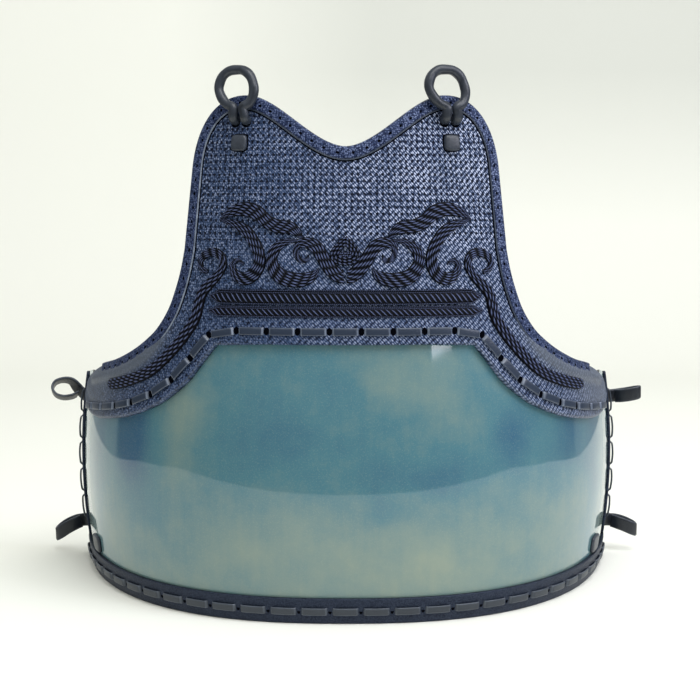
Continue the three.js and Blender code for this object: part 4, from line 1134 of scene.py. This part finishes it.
# %% [markdown]
# ## Loops
# The shoulder loops are round leather cord whose two feet go into the plate, and the side loops are flat
# straps bent from inside the shell round the back edge. Both are short and stiff, so they are drawn in the
# shape that they hold, as a section carried along a smooth path. Small domes make the stubs and tabs.


# %% Loops
TUBE_SIDES = 16


def tube(path, radius, tone=0.0):
    """Round tube along a path in metres; each ring's axes are carried along from the ring before."""
    along = np.gradient(path, axis=0)
    along /= np.linalg.norm(along, axis=1, keepdims=True)
    across = np.cross(along[0], [0, 1, 0.2])
    rings = []
    angle = np.linspace(0, 2 * np.pi, TUBE_SIDES, endpoint=False)
    for point, way, r in zip(path, along, radius):
        across = across - way * np.dot(across, way)
        across /= np.linalg.norm(across)
        other = np.cross(way, across)
        rings.append(point + (np.cos(angle)[:, None] * across + np.sin(angle)[:, None] * other) * r[:, None])
    return grid(np.array(rings), True, True, tone=tone)


LOOP_SHARES = named_rows(
    "out up",
    (0.27, 0.24),
    (0.62, 0.32),
    (0.9, 0.47),
    (1, 0.65),
    (0.8, 0.87),
    (0.42, 0.98),
)


def shoulder_loop(side):
    """Round cord from one foot in the plate, round the ring, to the other foot."""
    bend = LOOP_CORD / 2
    seat = PLATE_FACE + 2 * GAP + EDGE_LEATHER + LOOP_CORD / 2
    half = [
        [LOOP_FOOT_SPREAD, 0, 0.5 * PLATE_FACE],
        [LOOP_FOOT_SPREAD, 0, PLATE_FACE + 1],
        [LOOP_FOOT_SPREAD, 0.4 * bend, seat - 1.2],
        [0.92 * LOOP_FOOT_SPREAD, 1.5 * bend, seat + 0.2],
    ]
    half += [[r["out"] * LOOP_HALF_WIDTH, r["up"] * LOOP_RISE, seat + 0.6] for r in LOOP_SHARES]
    half = np.array(half)
    rows = np.vstack([half, [[0, LOOP_RISE, seat + 0.6]], mirror(half)[::-1]])
    lean = LOOP_LEAN * smoothstep(rows[:, 1] / LOOP_RISE, 0.1, 0.8)
    points = on_trunk(side * LOOP_GIRTH + rows[:, 0] - lean, LOOP_FOOT_HEIGHT + rows[:, 1], rows[:, 2])
    path = smooth_path(points / MM, step=0.9) * MM
    run = run_length(path) / MM
    angle = np.linspace(0, 2 * np.pi, TUBE_SIDES, endpoint=False)
    seam = np.exp(-((((angle[None] - run[:, None] / 40) % (2 * np.pi)) / 0.25) ** 2))
    radius = (LOOP_CORD / 2 - 0.45 * seam + 0.12 * np.sin(run / 2.1)[:, None]) * MM
    return tube(path, radius, tone=0.25 * (1 - seam))


def dome(girth, height, width, rise, seat, thick, square=4.0):
    """A low rounded cushion: rings of a superellipse that close in towards the top."""
    turn = np.linspace(0, 2 * np.pi, 40, endpoint=False)
    levels = np.array([[1, 0], [1.02, 0.35], [1, 0.65], [0.93, 0.88], [0.8, 0.98], [0.4, 1.02], [0.02, 1.03]])
    shape_x = np.sign(np.cos(turn)) * np.abs(np.cos(turn)) ** (2 / square) * width / 2
    shape_z = np.sign(np.sin(turn)) * np.abs(np.sin(turn)) ** (2 / square) * rise / 2
    g = girth + levels[:, :1] * shape_x[None]
    h = height + levels[:, :1] * shape_z[None]
    points = on_trunk(g, h, seat + thick * levels[:, 1:])
    return grid(points, True, True, tone=0.3 + 0 * g)


for word, side in (("left", -1), ("right", 1)):
    make_piece(f"Shoulder_loop_{word}", [shoulder_loop(side)], LOOP_SKIN, [f"shoulder_loop_{word}"])
    stub = dome(side * LOOP_GIRTH, STUB_HEIGHT, STUB_WIDTH, STUB_RISE, PLATE_FACE, STUB_THICK)
    make_piece(f"Loop_stub_{word}", [stub], LOOP_SKIN, [f"loop_stub_{word}"])
    # Painted shadow: flat near-black rims round the stub and round both feet of the loop.
    dark = [dome(side * LOOP_GIRTH, STUB_HEIGHT, STUB_WIDTH + 2, STUB_RISE + 1.6, PLATE_FACE - 0.2, 0.3)]
    for foot in (-1, 1):
        girth = side * LOOP_GIRTH + foot * LOOP_FOOT_SPREAD
        size = (LOOP_CORD + 1.6, LOOP_CORD + 1.2)
        dark.append(dome(girth, LOOP_FOOT_HEIGHT - 1, *size, PLATE_FACE - 0.2, 0.3, 2.2))
    make_piece(f"Loop_hole_shadows_{word}", dark, PAINTED_SHADE)

LOOP_RUN = named_rows(
    "out back",
    (0.24, 0.62),
    (0.45, 0.94),
    (0.7, 1),
    (0.92, 0.78),
    (1, 0.38),
    (0.9, 0),
    (0.68, -0.12),
    (0.45, -0.04),
    (0.29, 0.2),
)
SIDE_LOOPS = named_rows(
    "word side height opening tilt drop",
    ("upper_left", -1, UPPER_STRAP_HEIGHT, 14, 1.1, -2),
    ("upper_right", 1, UPPER_STRAP_HEIGHT, 9, 0, -4),
    ("lower_left", -1, LOWER_STRAP_HEIGHT, 9, 0, 12),
    ("lower_right", 1, LOWER_STRAP_HEIGHT, 9, 0, 8),
)


def side_loop(row):
    """Flat strap: along the inside of the shell, round the back edge, out and back to the edge."""
    side, height, opening, tilt = (row[key] for key in ("side", "height", "opening", "tilt"))
    tail = STRAP_TAIL if height == UPPER_STRAP_HEIGHT else BACK_GIRTH - TAB_GIRTH
    out = plan_frame(np.array(side * BACK_GIRTH))[1]
    outward = np.array([out[0], out[1], 0])
    backward = np.array([-side * out[1], side * out[0], 0])
    up = np.array([0, 0, 1.0])
    edge = on_trunk(side * BACK_GIRTH, height, 0) / MM
    clear = SEAT_GAP + SIDE_LEATHER + STRAP_EASE + STRAP_THICK / 2
    tail_lift = -SHELL_THICK - clear
    points = [on_trunk(side * (BACK_GIRTH - tail * (1 - k / 4)), height, tail_lift) / MM for k in range(5)]
    turned = len(points) + 4
    rounds = [[tail_lift, clear - 1.4 - STRAP_THICK / 2], [tail_lift + 0.6, clear]]
    rounds += [[tail_lift + 2.6, clear + 0.7], [0, clear + 2]]
    points += [edge + outward * o + backward * b for o, b in rounds]
    for step in LOOP_RUN:
        o, b = step["out"], step["back"] * opening
        lean = tilt if step["back"] > 0.7 or o > 0.6 else 0.5 * tilt
        point = edge + outward * o * STRAP_REACH + backward * (clear - 0.6 + b * np.cos(lean))
        points.append(point + up * (b * np.sin(lean) - row["drop"] * o * o))
    path = smooth_path(points, step=1.0)
    along = np.gradient(path, axis=0)
    along /= np.linalg.norm(along, axis=1, keepdims=True)
    place = np.linspace(0, len(points) - 1, len(path))[:, None]
    turn = smoothstep(place, turned - 2, turned + 3) * tilt
    width = up * np.cos(turn) - backward * np.sin(turn)
    width -= along * np.sum(width * along, 1, keepdims=True)
    width /= np.linalg.norm(width, axis=1, keepdims=True)
    thick = np.cross(along, width)
    angle = np.linspace(0, 2 * np.pi, 16, endpoint=False) + 0.1
    a = np.sign(np.cos(angle)) * np.abs(np.cos(angle)) ** 0.3 * STRAP_WIDTH / 2
    b = np.sign(np.sin(angle)) * np.abs(np.sin(angle)) ** 0.6 * STRAP_THICK / 2
    points = path[:, None] + width[:, None] * a[None, :, None] + thick[:, None] * b[None, :, None]
    edge_tone = smoothstep(np.abs(a), 0.4 * STRAP_WIDTH, 0.5 * STRAP_WIDTH) * 0.6
    return grid(points * MM, True, True, tone=edge_tone[None])


for row in SIDE_LOOPS:
    grids = [side_loop(row)]
    if row["height"] == LOWER_STRAP_HEIGHT:
        place = (row["side"] * TAB_GIRTH, LOWER_STRAP_HEIGHT)
        grids.append(dome(*place, TAB_LENGTH, STRAP_WIDTH + 2, SEAT_GAP - 0.3, TAB_THICK, 5))
    make_piece(f"Side_loop_{row['word']}", grids, LOOP_SKIN, [f"side_loop_{row['word']}"])

# %% [markdown]
# ## Stage
# A pale sheet with a finite front edge lies under the breastplate and curves up behind it. Its edge shows
# as the curved line in the lacquer: below it the gloss mirrors the pale sheet, above it a dark room. A
# large lamp overhead gives the soft light, one at the right the shine on that side, and a narrow one the
# streak in the gloss.


# %% Stage
def floor_sheet():
    """Paper sheet: flat with a rounded front edge, then a quarter turn up into a wall behind."""
    front, back, bend, wall = -0.66, 1.3, 0.5, 3.0
    across = np.linspace(-1, 1, 61)
    depth = np.linspace(0, 1, 30)
    turn = np.linspace(0, np.pi / 2, 16)[1:]
    bent = (len(across), len(turn))
    edge = front + 0.28 * np.abs(across) ** 3.2
    flat_y = edge[:, None] + (back - edge[:, None]) * depth[None]
    rise_y = np.broadcast_to(back + bend * np.sin(turn), bent)
    rise_z = np.broadcast_to(bend * (1 - np.cos(turn)), bent)
    y = np.hstack([flat_y, rise_y, np.full((len(across), 1), back + bend)])
    z = np.hstack([0 * flat_y, rise_z, np.full((len(across), 1), wall)])
    half = 1.0 - 0.2 * smoothstep(y, 0, 0.4)
    x = across[:, None] * half
    return np.stack([x, y, z], -1)


def stage_sheet():
    """The sheet as a mesh with its paper material."""
    surface = grid(floor_sheet())
    mesh = bpy.data.meshes.new("Sheet")
    mesh.from_pydata(surface["points"].reshape(-1, 3).tolist(), [], grid_faces(surface, 0))
    paper, tree = new_tree("Pale paper")
    across, up = (add(tree, "SeparateXYZ", (object_place(tree),), axis) for axis in "XZ")
    rise = add(tree, "MapRange", (up, 250, 560))
    shade = add(tree, "Math", (rise, add(tree, "MapRange", (across, -350, 50))), operation="MULTIPLY")
    tints = {0: shade, 6: linear("#f0f1ea"), 7: linear("#d9dbd5")}
    tint = add(tree, "Mix", tints, 2, data_type="RGBA")
    finish = {"Base Color": tint, "Roughness": 0.8, "Specular IOR Level": 0}
    add(tree, "OutputMaterial", (add(tree, "BsdfPrincipled", finish),))
    mesh.materials.append(paper)
    mesh.polygons.foreach_set("use_smooth", np.ones(len(mesh.polygons), bool))
    sheet = bpy.data.objects.new("Sheet", mesh)
    bpy.context.scene.collection.objects.link(sheet)


def area_light(name, place, target, size, power, colour):
    """A lamp at a place that faces a target; size is its width and height in metres."""
    lamp = bpy.data.lights.new(name, "AREA")
    lamp.energy = power
    lamp.shape = "RECTANGLE"
    lamp.size, lamp.size_y = size
    lamp.color = linear(colour)[:3]
    obj = bpy.data.objects.new(name, lamp)
    bpy.context.scene.collection.objects.link(obj)
    obj.location = place
    way = np.array(target, float) - np.array(place, float)
    flat = np.hypot(way[0], way[1])
    obj.rotation_euler = (np.arctan2(flat, -way[2]), 0, np.arctan2(way[1], way[0]) - np.pi / 2)


def room_light():
    """White world for the camera and soft light. Mirror rays see a dim room, and white above and behind.

    glow = 0.42 max(above, behind) + dim, from the direction of the ray.
    """
    world = bpy.data.worlds.new("Room")
    bpy.context.scene.world = world
    world.use_nodes = True
    tree = world.node_tree
    tree.nodes.clear()
    way = add(tree, "TexCoord", output="Generated")
    depth, rise = (add(tree, "SeparateXYZ", (way,), axis) for axis in "YZ")
    above = add(tree, "MapRange", (rise, 0.32, 0.46))
    behind = add(tree, "MapRange", (depth, 0.46, 0.49, 0, 0.85))
    dim = add(tree, "MapRange", (rise, 0.0, 0.3, 0.02, 0.25))
    pale = add(tree, "Math", (above, behind), operation="MAXIMUM")
    glow = add(tree, "Math", (pale, 0.42, dim), operation="MULTIPLY_ADD")
    white = add(tree, "Background", {"Color": linear("#f6f7f2"), "Strength": 0.85})
    room = add(tree, "Background", {"Color": linear("#e8eef2"), "Strength": glow})
    glossy = add(tree, "LightPath", output="Is Glossy Ray")
    add(tree, "OutputWorld", (add(tree, "MixShader", (glossy, white, room)),))


stage_sheet()
room_light()
area_light("Top box", (0.5, -0.9, 1.9), (0.0, -0.05, 0.2), (1.2, 1.2), 24, "#ffffff")
area_light("Right window", (1.48, -2.1, 0.73), (0.06, -0.1, 0.18), (0.46, 0.06), 0.8, "#f3f6ff")
area_light("Right box", (1.7, -0.8, 1.3), (0.05, 0.0, 0.2), (0.9, 0.9), 18, "#f1f0ff")

CAMERA_AWAY = 968
CAMERA_SIDE = 3.2
CAMERA_HEIGHT = 299
CAMERA_PITCH = 6.08
camera = bpy.data.cameras.new("Camera")
camera.lens = 72
camera.sensor_width = 36
camera_object = bpy.data.objects.new("Camera", camera)
bpy.context.scene.collection.objects.link(camera_object)
front = SHIFT_Y - PLAN_HALF_DEPTH - 3
camera_object.location = ((SHIFT_X + CAMERA_SIDE) * MM, (front - CAMERA_AWAY) * MM, CAMERA_HEIGHT * MM)
camera_object.rotation_euler = (np.radians(90 - CAMERA_PITCH), 0, 0)
bpy.context.scene.camera = camera_object
bpy.context.scene.view_settings.view_transform = "Standard"
print("camera at", tuple(round(v, 4) for v in camera_object.location))
